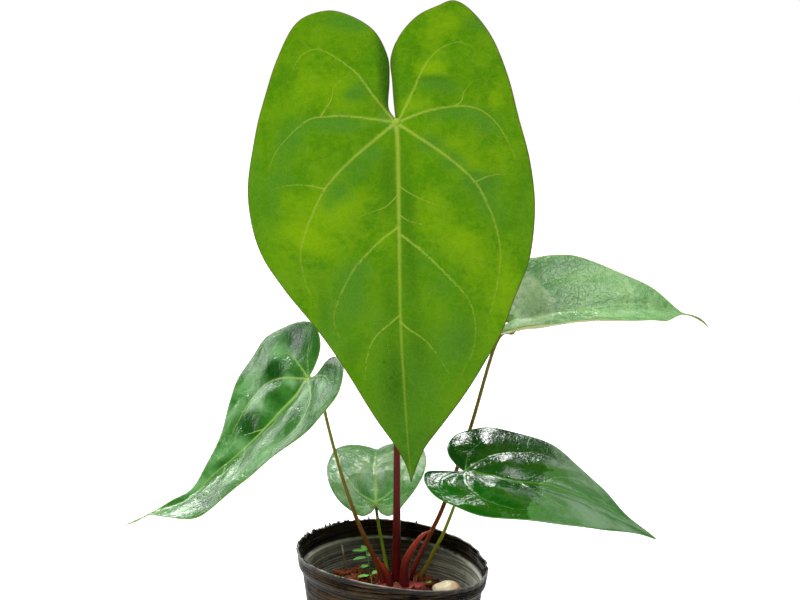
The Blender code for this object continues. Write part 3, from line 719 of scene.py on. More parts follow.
    def relief(self, flat):
        """Values at flat places: lift, vein mask and distance to the margin."""
        mask = np.zeros(len(flat))
        crease = np.zeros(len(flat))
        for width, depth, line in self.veins:
            away, share = to_line(flat, line)
            wide = width * (1.0 - 0.6 * share)
            mask = np.maximum(mask, np.exp(-((away / (wide * 0.44)) ** 2)) * (1.0 - 0.6 * share))
            fade = (1.0 - 0.75 * share**2) * np.clip(share * 6.0 + 0.35, 0.0, 1.0)
            crease = np.maximum(crease, depth * fade * np.exp(-((away / CREASE_REACH) ** 1.5)))
        closed = np.vstack([self.outline, self.outline[:1]])
        margin = to_line(flat, closed)[0]
        lift = -self.quilt * crease + VEIN_RISE_ABOVE * mask
        for u, v, reach, height in self.swells:
            lift = lift + height * np.exp(-((flat[:, 0] - u) ** 2 + (flat[:, 1] - v) ** 2) / reach**2)
        depth, reach = self.notch
        near, share = to_line(flat, self.notch_line)
        fade = np.clip(np.minimum(share, 1.0 - share) * 5.0, 0.0, 1.0)
        lift = lift - depth * fade * np.clip(1.0 - near / reach, 0.0, 1.0) ** 1.6
        for i, (u, v) in enumerate(flat):
            soft = noise.noise(Vector((u, v, self.length)) * 0.05) * 1.2
            soft += noise.noise(Vector((u, v, self.length + 9)) * 0.16) * 0.3
            lift[i] += self.quilt * soft * min(margin[i] / 6.0, 1.0)
        run = flat[:, 1] * 0.16 + np.where(flat[:, 0] > 0, 1.3, 0.0)
        lift = lift + self.wave * np.exp(-margin / MARGIN_WAVE_REACH) * np.sin(run + 0.8 * np.sin(run * 0.37))
        return lift, mask, margin

    def make(self):
        flat = [Vector(p) for p in self.flat_points()]
        loop = list(range(len(self.outline)))
        flat, _, triangles, *_ = delaunay_2d_cdt(flat, [], [loop], 1, 1e-6)
        flat = np.array([tuple(p) for p in flat])
        count = len(flat)
        lift, mask, margin = self.relief(flat)
        half = BLADE_THICKNESS / 2 * np.clip(0.35 + margin / 1.6, 0.0, 1.0)
        u, v = flat.T
        top = self.at(u, v, lift + half)
        under = self.at(u, v, lift - half - VEIN_RISE_BELOW * mask * np.clip(margin / 2.0, 0.0, 1.0))
        faces = [tuple(t) for t in triangles]
        faces += [tuple(i + count for i in reversed(t)) for t in triangles]
        edges = set()
        for a, b, c in triangles:
            edges |= {(a, b), (b, c), (c, a)}
        faces += [(b, a, a + count, b + count) for a, b in sorted(edges) if (b, a) not in edges]
        paint = {"vein": mask, "margin": margin}
        # Patch masks: painted light, painted sheen, painted shade, and a pale painted reflection with painted
        # light
        for kind in ("light", "cool", "deep", "bloom"):
            own = np.zeros(count)
            for pu, pv, ru, rv, amount in self.patches.get(kind, ()):
                own += amount * np.exp(-(((u - pu) / ru) ** 2) - ((v - pv) / rv) ** 2)
            paint[kind] = own
        paint = {key: np.concatenate([values, values]) for key, values in paint.items()}
        paint["underside"] = np.repeat([0.0, 1.0], count)
        paint["flat"] = np.tile(np.stack([u, v, np.zeros(count)], 1), (2, 1))
        return build(self.name, np.vstack([top, under]), faces, **paint)


def new_group(name, colours, values, results):
    """A node group that gives a colour and some results, with its inputs and outputs."""
    group = bpy.data.node_groups.new(name, "ShaderNodeTree")
    for labels, way, kind in (
        (colours, "INPUT", "Color"), (values, "INPUT", "Float"),
        (("Colour",), "OUTPUT", "Color"), (results, "OUTPUT", "Float"),
    ):
        for label in labels:
            group.interface.new_socket(label, in_out=way, socket_type="NodeSocket" + kind)
    return group, group.nodes.new("NodeGroupInput").outputs, group.nodes.new("NodeGroupOutput").inputs


# Leaf skin, shared by all blades: mottled green between pale veins, fine veinlets, and a thin dark margin
skin, given, result = new_group(
    "leaf_skin",
    ("Green", "Light Patch", "Sheen Patch", "Shade And Speckle", "Vein", "Margin", "Underside", "Bloom"),
    ("Mottle", "Net", "Vein Strength", "Speckle"),
    ("Height", "Mottling", "Dull"),
)
flat = stored(skin, "flat", "Vector")
clouds = cloudy(skin, flat, 0.05, 3.0, 0.55)
blots = cloudy(skin, flat, 0.28, 4.0, 0.6)
pores = cloudy(skin, flat, 2.2)
spots = cloudy(skin, flat, 0.95, 3.0, 0.6)
mesh_net = put(skin, "TexVoronoi", {"Vector": flat, "Scale": 0.24}, feature="DISTANCE_TO_EDGE").outputs[0]
small_net = put(skin, "TexVoronoi", {"Vector": flat, "Scale": 0.7}, feature="DISTANCE_TO_EDGE").outputs[0]
net = spread(skin, mesh_net, 0.0, 0.09, 1.0, 0.0)
fine_net = spread(skin, small_net, 0.0, 0.1, 1.0, 0.0)
mottling = plus(skin, times(skin, clouds, 0.6), times(skin, blots, 0.4))
uneven = spread(skin, mottling, 0.34, 0.66, -0.45, 0.45)


def patch(key, above, colour, tone):
    share = plus(skin, stored(skin, key), times(skin, uneven, above))
    return between(skin, spread(skin, share, 0.1, 0.95), colour, tone)


lightness = times(skin, spread(skin, mottling, 0.42, 0.66), given["Mottle"])
colour = between(skin, lightness, given["Green"], given["Light Patch"])
# Light patches are painted light and painted highlights
colour = patch("light", 0.6, colour, given["Light Patch"])
# Greyish patches are a painted sheen
colour = patch("cool", 0.7, colour, given["Sheen Patch"])
# Dark patches are painted shade; the speckles below are the leaf's own marks in the same dark colour
colour = patch("deep", 0.45, colour, given["Shade And Speckle"])
speckled = times(skin, spread(skin, spots, 0.5, 0.6), given["Speckle"])
colour = between(skin, speckled, colour, given["Shade And Speckle"])
# A pale patch of painted reflection and painted light, with a crisp uneven edge; its mask also makes the skin
# rougher
pale_light_share = plus(skin, stored(skin, "bloom"), times(skin, uneven, 0.5))
pale_light_share = spread(skin, pale_light_share, 0.44, 0.58)
film = between(skin, spread(skin, blots, 0.38, 0.64), given["Bloom"], given["Sheen Patch"])
colour = between(skin, times(skin, pale_light_share, 0.9), colour, film)
netted = times(skin, combine(skin, "MAXIMUM", net, times(skin, fine_net, 0.4)),
                 given["Net"])
colour = between(skin, netted, colour, given["Vein"])
veined = times(skin, spread(skin, stored(skin, "vein"), 0.12, 0.75),
                 given["Vein Strength"])
colour = between(skin, veined, colour, given["Vein"])
edge = spread(skin, stored(skin, "margin"), 0.15, 0.75, 1.0, 0.0)
below = between(skin, times(skin, veined, 0.8), given["Underside"], given["Vein"])
below = between(skin, times(skin, net, 0.25), below, given["Vein"])
colour = between(skin, stored(skin, "underside"), colour, below)
colour = between(skin, times(skin, edge, 0.8), colour, given["Margin"])
height = combine(skin, "SUBTRACT", times(skin, pores, 0.07), times(skin, net, 0.45))
height = combine(skin, "SUBTRACT", height, times(skin, fine_net, 0.2))
height = plus(skin, height, times(skin, blots, 1.2))
height = plus(skin, height, times(skin, spots, 0.3))
skin.links.new(colour, result["Colour"])
skin.links.new(height, result["Height"])
skin.links.new(mottling, result["Mottling"])
skin.links.new(pale_light_share, result["Dull"])


def leaf_material(name, colours, mottle, net, vein, gloss, relief, speckle, shine=0.5):
    """A blade's material: colours by patch, how mottled and netted it is, and its (least, most) roughness."""
    material, tree, shader = new_material(name)
    node = tree.nodes.new("ShaderNodeGroup")
    node.node_tree = skin
    for label, colour in colours.items():
        node.inputs[label].default_value = (*colour, 1.0)
    node.inputs["Mottle"].default_value = mottle
    node.inputs["Net"].default_value = net
    node.inputs["Vein Strength"].default_value = vein
    node.inputs["Speckle"].default_value = speckle
    tree.links.new(node.outputs["Colour"], shader.inputs["Base Color"])
    rough = spread(tree, node.outputs["Mottling"], 0.35, 0.65, *gloss)
    rough = plus(tree, rough, times(tree, node.outputs["Dull"], 0.12))
    tree.links.new(rough, shader.inputs["Roughness"])
    bumpy(tree, shader, node.outputs["Height"], relief, 0.5)
    shader.inputs["Specular IOR Level"].default_value = shine
    return material


# ---------------------------------------------------------------- the large blade in front
# The newest leaf, still yellow-green and soft. It hangs upright from its knee with its face to the front;
# its two lobes meet over the notch, and their inner margins turn back.

main_blade = Blade(
    "leaf_main", length=216, half_width=85, bend=12, lobe_bend=6, across=((5, 14), (5, 14)), twist=0,
    sway=(-9, 2), joint=(2.4, -15, 309), heading=-90, dip=78, roll=0,
    right_edge=[(0, -2), (4, -9), (3.4, -24), (4.6, -38), (13, -53), (28, -62), (42, -64), (58, -57),
                (69, -37), (79, -7), (86, 26), (87, 50), (82, 74), (68, 98), (50, 121), (33, 148), (18, 176),
                (7, 194),
                (2, 206), (0, 216)],
    left_edge=[(0, -2), (-1, -12), (-2, -24), (-3, -37), (2, -50), (12, -61), (24, -67), (34, -70), (45, -63),
               (57, -47), (66, -24), (73, 2), (79, 25), (81, 51), (78, 78), (70, 98), (60, 122), (49, 141),
               (37, 159), (20, 181), (10, 194), (4, 206), (0, 216)],
    veins=[
        (3.0, 1.2, [(0, 0), (-1, 16), (-1, 64), (0, 118), (0, 158), (0, 213)]),
        (2.1, 1.1, [(1, 1), (26, 22), (41, 38), (50, 55), (55, 68), (57, 78), (55, 94), (49, 108)]),
        (2.1, 1.1, [(-1, 1), (-28, 19), (-45, 34), (-54, 50), (-59, 66), (-60, 80), (-57, 98), (-51, 118)]),
        (1.8, 1.0, [(1, 0), (26, -3), (40, -3), (51, -1), (62, 8), (70, 17), (74, 26)]),
        (1.8, 1.0, [(-1, 0), (-17, -6), (-34, -9), (-46, -8), (-56, -2), (-64, 9), (-70, 22)]),
        (1.8, 1.0, [(1, -1), (13, -15), (23, -28), (35, -37), (45, -42), (54, -39), (60, -31)]),
        (1.8, 1.0, [(-1, -1), (-8, -14), (-16, -31), (-24, -41), (-35, -46), (-43, -44)]),
        (1.5, 0.8, [(-1, 61), (12, 71), (27, 87), (37, 107), (39, 118), (34, 132)]),
        (1.5, 0.8, [(-1, 65), (-15, 76), (-28, 89), (-40, 103), (-44, 118), (-42, 134), (-34, 149)]),
        (1.2, 0.6, [(0, 113), (6, 118), (16, 127), (21, 139), (23, 152)]),
        (1.2, 0.6, [(0, 117), (-4, 121), (-14, 128), (-22, 139), (-29, 151)]),
        (0.8, 0.2, [(-1, 42), (6, 49), (16, 53), (27, 57)]),
        (0.8, 0.2, [(-1, 37), (-7, 41), (-17, 46), (-30, 50)]),
        (0.8, 0.2, [(-1, 54), (-8, 58), (-22, 61)]),
        (0.9, 0.4, [(42, 39), (52, 37), (63, 37), (74, 40)]),
        (0.9, 0.4, [(-45, 35), (-56, 31), (-69, 30)]),
        (0.9, 0.3, [(-34, -9), (-38, -12), (-40, -18), (-45, -24)]),
        (0.9, 0.3, [(44, -3), (38, -12), (36, -20), (29, -26)]),
    ],
    # Light patches are painted light shining through the blade, greyish ones a painted sheen, and dark ones
    # painted shade along the midrib, in the creases and over the lower blade
    patches={
        "light": [(-20, -31, 9, 5, 1.2), (-13, -10, 12, 5, 0.8), (-58, -14, 5, 8, 0.9),
            (-30, -58, 11, 9, 0.7), (-18, -49, 9, 10, 0.5), (49, -22, 15, 7, 0.5), (33, -20, 11, 8, 0.4),
            (37, -10, 14, 5, 0.5), (-43, 24, 11, 9, 0.8), (-31, 13, 12, 5, 0.5), (-60, 17, 9, 8, 0.5),
            (45, 48, 20, 8, 0.8), (33, 56, 13, 8, 0.6), (57, 64, 13, 9, 0.9), (47, 72, 12, 9, 0.9),
            (22, 42, 11, 8, 0.4), (-17, 60, 14, 8, 0.5), (-37, 70, 12, 9, 0.7), (-47, 82, 9, 14, 0.6),
            (-65, 90, 8, 17, 0.6), (-60, 106, 8, 16, 0.5), (-19, 45, 12, 7, 0.5), (11, 68, 9, 9, 0.4),
            (20, 18, 8, 5, 0.3)],
        "cool": [(-22, -23, 9, 4, 1.2), (-31, -19, 7, 4, 0.7), (24, -16, 7, 4, 1.0), (19, -22, 5, 5, 0.6),
            (-34, -5, 17, 4, 1.1), (-54, 2, 9, 6, 0.8), (40, 1, 17, 5, 1.1), (28, 3, 11, 4, 0.6),
            (60, 9, 8, 8, 0.9), (66, 20, 7, 12, 0.6), (23, 28, 8, 7, 1.1), (14, 18, 7, 6, 1.0),
            (33, 40, 7, 6, 1.0), (40, 48, 6, 6, 0.7), (-20, 13, 8, 5, 1.0), (-33, 23, 8, 6, 1.0),
            (-44, 34, 7, 7, 1.0), (-52, 47, 6, 9, 0.9), (-55, 35, 9, 5, 0.8), (-62, 54, 7, 12, 0.6),
            (64, 34, 9, 5, 0.7), (73, 46, 5, 16, 0.7), (29, 94, 8, 10, 0.9), (21, 85, 7, 7, 0.8),
            (27, 106, 9, 11, 0.7), (-14, 82, 8, 6, 0.7), (-26, 95, 9, 8, 0.8), (-35, 121, 8, 14, 0.7),
            (40, 122, 11, 20, 0.7), (-28, 136, 11, 12, 0.8), (-9, 158, 11, 18, 0.7), (14, 152, 8, 16, 0.5),
            (-2, 190, 12, 20, 0.7), (25, -57, 12, 5, 0.9), (-48, -57, 8, 5, 0.9), (37, -60, 14, 4, 0.5),
            (83, 42, 6, 30, 0.6), (-75, 47, 5, 25, 0.5), (12, 122, 6, 12, 0.4)],
        "deep": [(8, -45, 4, 14, 0.8), (6, -28, 4, 14, 0.8), (4, -12, 3, 9, 0.7), (1, -34, 3, 16, 0.5),
            (0, -14, 2, 9, 0.5), (0, 180, 34, 44, 0.55), (-38, 128, 14, 24, 0.3), (0, 205, 12, 14, 0.4),
            (5, 34, 5, 20, 0.6), (-6, 45, 5, 30, 0.6), (-7, 92, 6, 30, 0.6), (-10, 134, 8, 20, 0.4),
            (5, 148, 7, 25, 0.5), (6, 100, 5, 20, 0.4), (-22, -25, 12, 2, 0.5), (45, 108, 4, 18, 0.4),
            (-66, 60, 7, 5, 0.4), (30, 136, 5, 9, 0.4)],
    },
    swells=((22, 30, 18, 1.2), (-28, 32, 20, 1.3), (40, 10, 20, 1.0), (-40, 5, 18, 1.0), (25, -25, 16, 1.0),
            (-22, -22, 14, 1.1), (25, 95, 22, 1.0), (-28, 110, 24, 1.0), (60, 60, 22, 0.8)),
    notch=(5.0, 9.0), wave=0.6, quilt=0.9, spacing=1.25,
)
# In each leaf material the light patch colour serves the paler mottling and painted light, the greyish patch
# colour is a painted sheen, the pale colour a painted reflection and painted light, and the darkest colour
# serves painted shade and speckles
young_leaf = leaf_material(
    "young_leaf",
    {"Green": (0.078, 0.252, 0.001), "Light Patch": (0.2, 0.395, 0.001), "Sheen Patch": (0.08, 0.252, 0.012),
     "Shade And Speckle": (0.042, 0.165, 0.002), "Vein": (0.4, 0.53, 0.06), "Margin": (0.12, 0.06, 0.012),
     "Underside": (0.18, 0.34, 0.06), "Bloom": (0.2, 0.4, 0.05)},
    mottle=0.7, net=0.09, vein=0.66, gloss=(0.3, 0.42), relief=0.0004, shine=0.1, speckle=0.12,
)
finish(main_blade.make(), young_leaf, "young_blade", "blade_main")


# ---------------------------------------------------------------- the older blades
# Harder, darker leaves with a waxy shine. Their veins lie deep, so the skin between them is quilted in soft
# cushions, and the tips of two of them run out in a pale thread.

left_blade = Blade(
    "leaf_left", length=130, half_width=50, bend=-34, lobe_bend=9, across=((13, 13), (13, 13)), twist=5,
    sway=(10, 5), joint=(-52.3, 3, 148.6), heading=-166.5, dip=56.5, roll=14,
    right_edge=[(0, -1), (3, -11), (8, -21), (18, -28), (30, -26), (48, -14), (60, 5), (57, 28), (43, 47),
                (28, 64), (13, 84), (5, 100), (3, 114), (1, 130)],
    left_edge=[(0, -1), (6, -10), (16, -20), (31, -25), (45, -19), (48, 5), (39, 29), (31, 52), (27, 75),
               (30, 97), (26, 112), (12, 124), (2, 130)],
    veins=[
        (2.3, 2.0, [(0, 0), (3, 43), (4, 80), (-2, 108), (0, 129)]),
        (1.7, 2.2, [(0, 1), (20, 12), (29, 24), (30, 36), (24, 52), (15, 67), (9, 80)]),
        (1.3, 1.8, [(1, 0), (17, -3), (29, -3), (34, 4)]),
        (1.2, 1.2, [(1, -1), (12, -12), (17, -21)]),
        (1.5, 1.8, [(-1, 1), (-18, 7), (-27, 18), (-28, 34), (-22, 52)]),
        (1.3, 1.4, [(-1, -1), (-22, -9), (-35, -8)]),
        (1.1, 1.4, [(3, 42), (9, 50), (15, 60)]),
        (1.0, 1.2, [(4, 58), (-8, 70), (-16, 84)]),
        (1.0, 1.2, [(4, 74), (-8, 88), (-14, 102)]),
    ],
    drip=(15, -12),
    swells=((14, 28, 12, 2.2), (14, 5, 9, 1.6), (35, 12, 12, 1.8), (-14, 30, 11, 2.0), (-12, 50, 11, 1.6),
            (33, -12, 10, -1.2), (16, 46, 8, -1.6), (-18, -12, 10, 1.2), (-20, 78, 10, 1.2),
            (40, 28, 9, -0.8)),
    # Greyish patches are a painted sheen, dark ones painted shade in the hollows, the light patch at the tip
    # a painted highlight, and the other light patches painted light
    patches={
        "cool": [(37, 1, 7, 7, 0.9), (40, 20, 5, 14, 0.8), (12, 9, 8, 4, 1.0), (25, 33, 5, 12, 0.8),
            (16, 33, 9, 5, 0.8), (-8, 11, 4, 12, 0.9), (-26, -3, 6, 6, 0.9), (-10, 44, 3, 9, 1.0),
            (8, 59, 8, 6, 0.7), (-23, 52, 6, 12, 0.7), (-12, 72, 10, 10, 0.5), (14, 74, 6, 12, 0.8),
            (5, 96, 5, 14, 0.8), (-12, 114, 10, 8, 1.0), (34, 50, 6, 12, 0.7), (-30, 24, 5, 14, 0.5),
            (28, -6, 8, 3, 0.6), (46, 30, 4, 12, 0.6)],
        "deep": [(31, -14, 14, 8, 1.2), (29, 11, 9, 7, 1.4), (15, 47, 11, 8, 1.3), (6, 76, 4, 6, 0.7),
            (-17, 22, 5, 7, 0.7), (-20, 98, 6, 8, 0.8), (-24, -17, 10, 5, 0.8), (12, 22, 10, 4, 0.7),
            (44, 10, 4, 12, 0.4)],
        "light": [(-20, 62, 8, 16, 0.5), (-6, 30, 5, 12, 0.4), (0, 128, 9, 12, 1.0)],
    },
    notch=(2.0, 6.0), wave=0.8, quilt=1.0, spacing=1.0,
)
right_blade = Blade(
    "leaf_right", length=126, half_width=41, bend=29, lobe_bend=12, across=((8, 14), (8, 14)), twist=0,
    sway=(-2, 2), joint=(44.8, -13, 94.1), heading=-11, dip=6, roll=-19,
    right_edge=[(0, -2), (3, -14), (8, -22), (16, -23), (25, -19), (33, -10), (38, 3), (40, 17), (38, 32),
                (32, 52), (26, 70), (20, 87), (11, 102), (5, 115), (0, 126)],
    left_edge=[(0, -1), (6, -8), (12, -13), (20, -15), (32, -11), (42, 1), (46, 18), (45, 36), (41, 51),
               (31, 66), (19, 84), (9, 98), (4, 112), (0, 126)],
    veins=[
        (2.1, 3.0, [(0, 0), (0, 16), (0, 30), (-3, 43), (-5, 55), (-4, 88), (0, 124)]),
        (1.5, 2.8, [(0, 0), (-11, 8), (-19, 17), (-25, 29), (-29, 43), (-27, 58)]),
        (1.3, 2.4, [(-1, 0), (-11, -1), (-21, 2), (-32, 9)]),
        (1.5, 2.8, [(1, 0), (13, 3), (21, 9), (26, 18), (28, 33), (25, 45)]),
        (1.3, 2.2, [(1, -1), (7, -7), (15, -12), (24, -11)]),
        (1.0, 1.4, [(-4, 46), (-13, 57), (-17, 72)]),
        (1.0, 1.4, [(-1, 34), (8, 48), (13, 64)]),
    ],
    swells=((-14, 22, 9, 1.0), (14, 18, 10, 1.3), (-26, 8, 8, 1.1), (16, -4, 9, 1.0), (0, 66, 14, 0.6)),
    # The pale patches are a painted reflection over the tip half, the dark patch painted shade and the
    # greyish patch a painted sheen
    patches={
        "bloom": [(14, 92, 36, 42, 1.5), (-12, 104, 22, 44, 1.1), (30, 60, 12, 14, 0.6),
            (-40, 52, 8, 14, 0.5)],
        "deep": [(-34, 60, 10, 16, 0.6)],
        "cool": [(20, 30, 6, 12, 0.4)],
    },
    notch=(1.5, 6.0), wave=0.5, quilt=0.5, spacing=0.9,
)
back_right_blade = Blade(
    "leaf_back_right", length=118, half_width=44, bend=24, lobe_bend=6, across=((24, 8), (8, -52)), twist=-8,
    sway=(2, 3), joint=(74.7, 30, 177.5), heading=11, dip=-9.5, roll=-21,
    right_edge=[(0, -2), (4, -14), (12, -23), (24, -24), (34, -14), (36, 4), (34, 24), (32, 44), (30, 62),
                (27, 78), (19, 92), (9, 104), (3, 112), (1, 118)],
    left_edge=[(0, -2), (5, -12), (14, -20), (26, -20), (37, -8), (42, 10), (43, 30), (41, 48), (34, 64),
               (24, 82), (14, 100), (4, 112), (1, 118)],
    veins=[
        (1.9, 1.5, [(0, 0), (2, 20), (0, 46), (-3, 72), (-3, 93), (0, 116)]),
        (1.5, 1.4, [(0, 0), (-12, 10), (-22, 26), (-26, 44), (-24, 62)]),
        (1.2, 1.2, [(0, -1), (-12, -7), (-24, -5), (-33, 4)]),
        (1.5, 1.3, [(0, 0), (14, 6), (23, 22), (26, 42), (22, 62)]),
        (1.2, 1.1, [(0, -1), (10, -10), (21, -14), (30, -6)]),
        (1.0, 0.9, [(0, 42), (-10, 58), (-14, 76)]),
        (1.0, 0.9, [(0, 48), (10, 62), (13, 78)]),
    ],
    drip=(26, 42),
    swells=((-12, 28, 11, 1.2), (-32, 28, 10, 1.0), (12, 30, 10, 0.8), (-10, 70, 11, 0.9)),
    # The light patches and the pale patch near the stalk are painted light over the shadow of the large
    # blade; the dark patches are painted shade
    patches={
        "light": [(-13, 9, 14, 12, 1.2), (4, 11, 10, 12, 1.0), (-6, 40, 8, 26, 0.3), (-14, 74, 9, 14, 0.4),
            (8, 62, 8, 30, 0.4)],
        "bloom": [(-10, 6, 26, 24, 1.3)],
        "deep": [(-34, 22, 6, 20, 0.5), (-35, 50, 6, 14, 0.5)],
    },
    notch=(1.5, 6.0), wave=0.6, quilt=0.8, spacing=0.9,
)
small_back_blade = Blade(
    "leaf_small_back", length=86, half_width=32, bend=66, lobe_bend=10, across=((18, 14), (18, 14)), twist=0,
    sway=(0, 2), joint=(-10.8, 25, 57.3), heading=92, dip=-39, roll=4,
    right_edge=[(0, -2), (3, -7), (8, -10), (14, -8), (21, -1), (28, 8), (33, 20), (34, 33), (31, 46),
                (25, 58), (16, 70), (7, 80), (0, 86)],
    left_edge=[(0, -2), (3, -6), (9, -9), (17, -5), (25, 2), (30, 12), (32, 26), (30, 38), (27, 49),
               (21, 60), (13, 71), (6, 80), (0, 86)],
    veins=[
        (1.9, 1.3, [(0, 0), (0, 40), (0, 84)]),
        *(
            (width, crease, [(half * u, v) for u, v in points])
            for width, crease, points in (
                (1.4, 1.4, [(0, 1), (11, 8), (20, 20), (24, 34), (20, 50)]),
                (1.1, 1.0, [(0, 0), (10, -3), (20, 3), (27, 13)]),
                (0.9, 0.8, [(0, 34), (10, 44), (13, 56)]),
            )
            for half in (-1, 1)
        ),
    ],
    swells=((-10, 24, 8, 2.0), (10, 24, 8, 2.0), (-22, 12, 8, 1.2), (22, 12, 8, 1.2),
            (0, 58, 10, 1.0)),
    # Light patches beside the midrib are painted highlights; dark patches are painted shade
    patches={
        "light": [(-10, 30, 7, 12, 0.9), (13, 34, 8, 14, 0.8), (26, 32, 8, 14, 0.8), (5, 44, 5, 6, 0.6)],
        "deep": [(-7, 8, 6, 8, 0.6), (-22, 30, 5, 10, 0.5)],
    },
    notch=(1.0, 4.0), wave=0.4, quilt=1.2, spacing=0.8,
)
# As for the large blade, the greyish, pale and darkest colours here are painted sheen, painted reflection and
# light, and painted shade with speckles
quilted_leaf = leaf_material(
    "quilted_leaf",
    {"Green": (0.026, 0.15, 0.014), "Light Patch": (0.09, 0.3, 0.04), "Sheen Patch": (0.16, 0.38, 0.13),
     "Shade And Speckle": (0.003, 0.062, 0.002), "Vein": (0.32, 0.53, 0.1), "Margin": (0.3, 0.38, 0.1),
     "Underside": (0.12, 0.27, 0.06), "Bloom": (0.7, 0.8, 0.5)},
    mottle=0.35, net=0.05, vein=0.75, gloss=(0.1, 0.18), relief=0.0003, speckle=0.1,
)
dark_leaf = leaf_material(
    "dark_leaf",
    {"Green": (0.004, 0.08, 0.001), "Light Patch": (0.012, 0.15, 0.002), "Sheen Patch": (0.06, 0.22, 0.04),
     "Shade And Speckle": (0.003, 0.04, 0.001), "Vein": (0.16, 0.4, 0.07), "Margin": (0.14, 0.3, 0.05),
     "Underside": (0.12, 0.26, 0.05), "Bloom": (0.055, 0.18, 0.035)},
    mottle=0.3, net=0.02, vein=0.55, gloss=(0.04, 0.08), relief=0.00014, shine=0.45, speckle=0.05,
)
grey_leaf = leaf_material(
    "grey_leaf",
    {"Green": (0.12, 0.34, 0.085), "Light Patch": (0.3, 0.55, 0.18), "Sheen Patch": (0.2, 0.42, 0.18),
     "Shade And Speckle": (0.035, 0.16, 0.03), "Vein": (0.3, 0.6, 0.12), "Margin": (0.38, 0.42, 0.08),
     "Underside": (0.42, 0.5, 0.02), "Bloom": (0.5, 0.68, 0.3)},
    mottle=0.9, net=0.12, vein=0.7, gloss=(0.12, 0.26), relief=0.0004, speckle=0.5,
)
small_leaf = leaf_material(
    "small_leaf",
    {"Green": (0.1, 0.36, 0.08), "Light Patch": (0.42, 0.62, 0.32), "Sheen Patch": (0.22, 0.46, 0.2),
     "Shade And Speckle": (0.025, 0.18, 0.02), "Vein": (0.46, 0.68, 0.16), "Margin": (0.2, 0.36, 0.1),
     "Underside": (0.3, 0.45, 0.16), "Bloom": (0.7, 0.8, 0.6)},
    mottle=0.8, net=0.1, vein=0.75, gloss=(0.05, 0.1), relief=0.0003, speckle=0.25,
)
finish(left_blade.make(), quilted_leaf, "old_blade", "blade_left")
finish(right_blade.make(), dark_leaf, "old_blade", "blade_right")
finish(back_right_blade.make(), grey_leaf, "old_blade", "blade_back_right")
finish(small_back_blade.make(), small_leaf, "old_blade", "blade_small_back")


# ---------------------------------------------------------------- crown and leaf stalks
# The crown is a short thick stem with the scars and torn sheaths of older leaves. The stalks stand on it,
# each widened at its foot and ending in a knee: a short paler swelling that turns the blade to the light.

CROWN_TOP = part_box("crown")[1].z / MM
FOOT = CROWN_TOP - MIX_LEVEL + 0.3
ABOVE_FOOT = FOOT + 3.2
KNEE_LENGTH = 10.0


def above(route):
    """A route whose heights are given above the mix's level, as true heights."""
    return [(x, y, z + MIX_LEVEL, r) for x, y, z, r in route]


def stalk_outline(turns, run, whole):
    """A stalk is round with a shallow groove, which closes below the knee; its foot is lumpy."""
    groove = 0.1 * np.exp(-((np.angle(np.exp(1j * (turns - 1.0))) / 0.45) ** 2))
    lumps = 0.06 * math.exp(-run / 9.0) * np.sin(3 * turns + run * 0.8)
    return 1.0 - groove * min(1.0, max(0.0, (whole - run - 12.0) / 10.0)) + lumps


def stalk(name, route, sides=20):
    track = smooth_route(route, 10)
    track[:, 3] = np.maximum(track[:, 3], 0.15)
    points, faces, share = tube(track, sides, stalk_outline)
    return build(name, points, faces, share=share)


def petiole(name, blade, route, top_radius, material, slot):
    """A stalk and its knee, replacing the plain one."""
    upper = []
    for back, swell in ((KNEE_LENGTH, 1.0), (KNEE_LENGTH * 0.7, 1.12), (KNEE_LENGTH * 0.4, 1.3),
                        (KNEE_LENGTH * 0.2, 1.25), (1.5, 1.05)):
        spot = blade.joint - blade.up * back
        upper.append((*spot, top_radius * swell))
    finish(stalk("stalk_" + name, above(route) + upper), material, slot, "petiole_" + name)


rind, given, result = new_group("stalk_skin", ("Foot", "Middle", "Top", "Knee"), (), ("Height",))
place = object_place(rind)
streaks = cloudy(rind, object_place(rind, (1400.0, 1400.0, 60.0)), 1.0, 3.0)
blush = cloudy(rind, place, 120.0, 3.0)
dots = put(rind, "TexVoronoi", {"Vector": place, "Scale": 900.0}).outputs["Distance"]
share = stored(rind, "share")
wander = plus(rind, share, spread(rind, blush, 0.3, 0.7, -0.05, 0.05))
colour = between(rind, spread(rind, wander, 0.02, 0.3), given["Foot"],
                 given["Middle"])
colour = between(rind, spread(rind, wander, 0.3, 0.68), colour, given["Top"])
colour = between(rind, spread(rind, share, 0.955, 0.985), colour, given["Knee"])
dark = between(rind, 0.55, colour, (0.02, 0.01, 0.005))
colour = between(rind, spread(rind, streaks, 0.52, 0.75, 0.0, 0.55), colour, dark)
colour = between(rind, spread(rind, dots, 0.04, 0.12, 0.35, 0.0), colour, dark)
height = plus(rind, streaks, times(rind, blush, 0.8))
rind.links.new(colour, result["Colour"])
rind.links.new(height, result["Height"])


def stalk_material(name, foot, middle, top, knee, rough=0.34, shine=0.12):
    material, tree, shader = new_material(name)
    node = tree.nodes.new("ShaderNodeGroup")
    node.node_tree = rind
    for label, colour in zip(("Foot", "Middle", "Top", "Knee"), (foot, middle, top, knee)):
        node.inputs[label].default_value = (*colour, 1.0)
    tree.links.new(node.outputs["Colour"], shader.inputs["Base Color"])
    bumpy(tree, shader, node.outputs["Height"], 0.00025, 0.5)
    shader.inputs["Roughness"].default_value = rough
    shader.inputs["Specular IOR Level"].default_value = shine
    return material


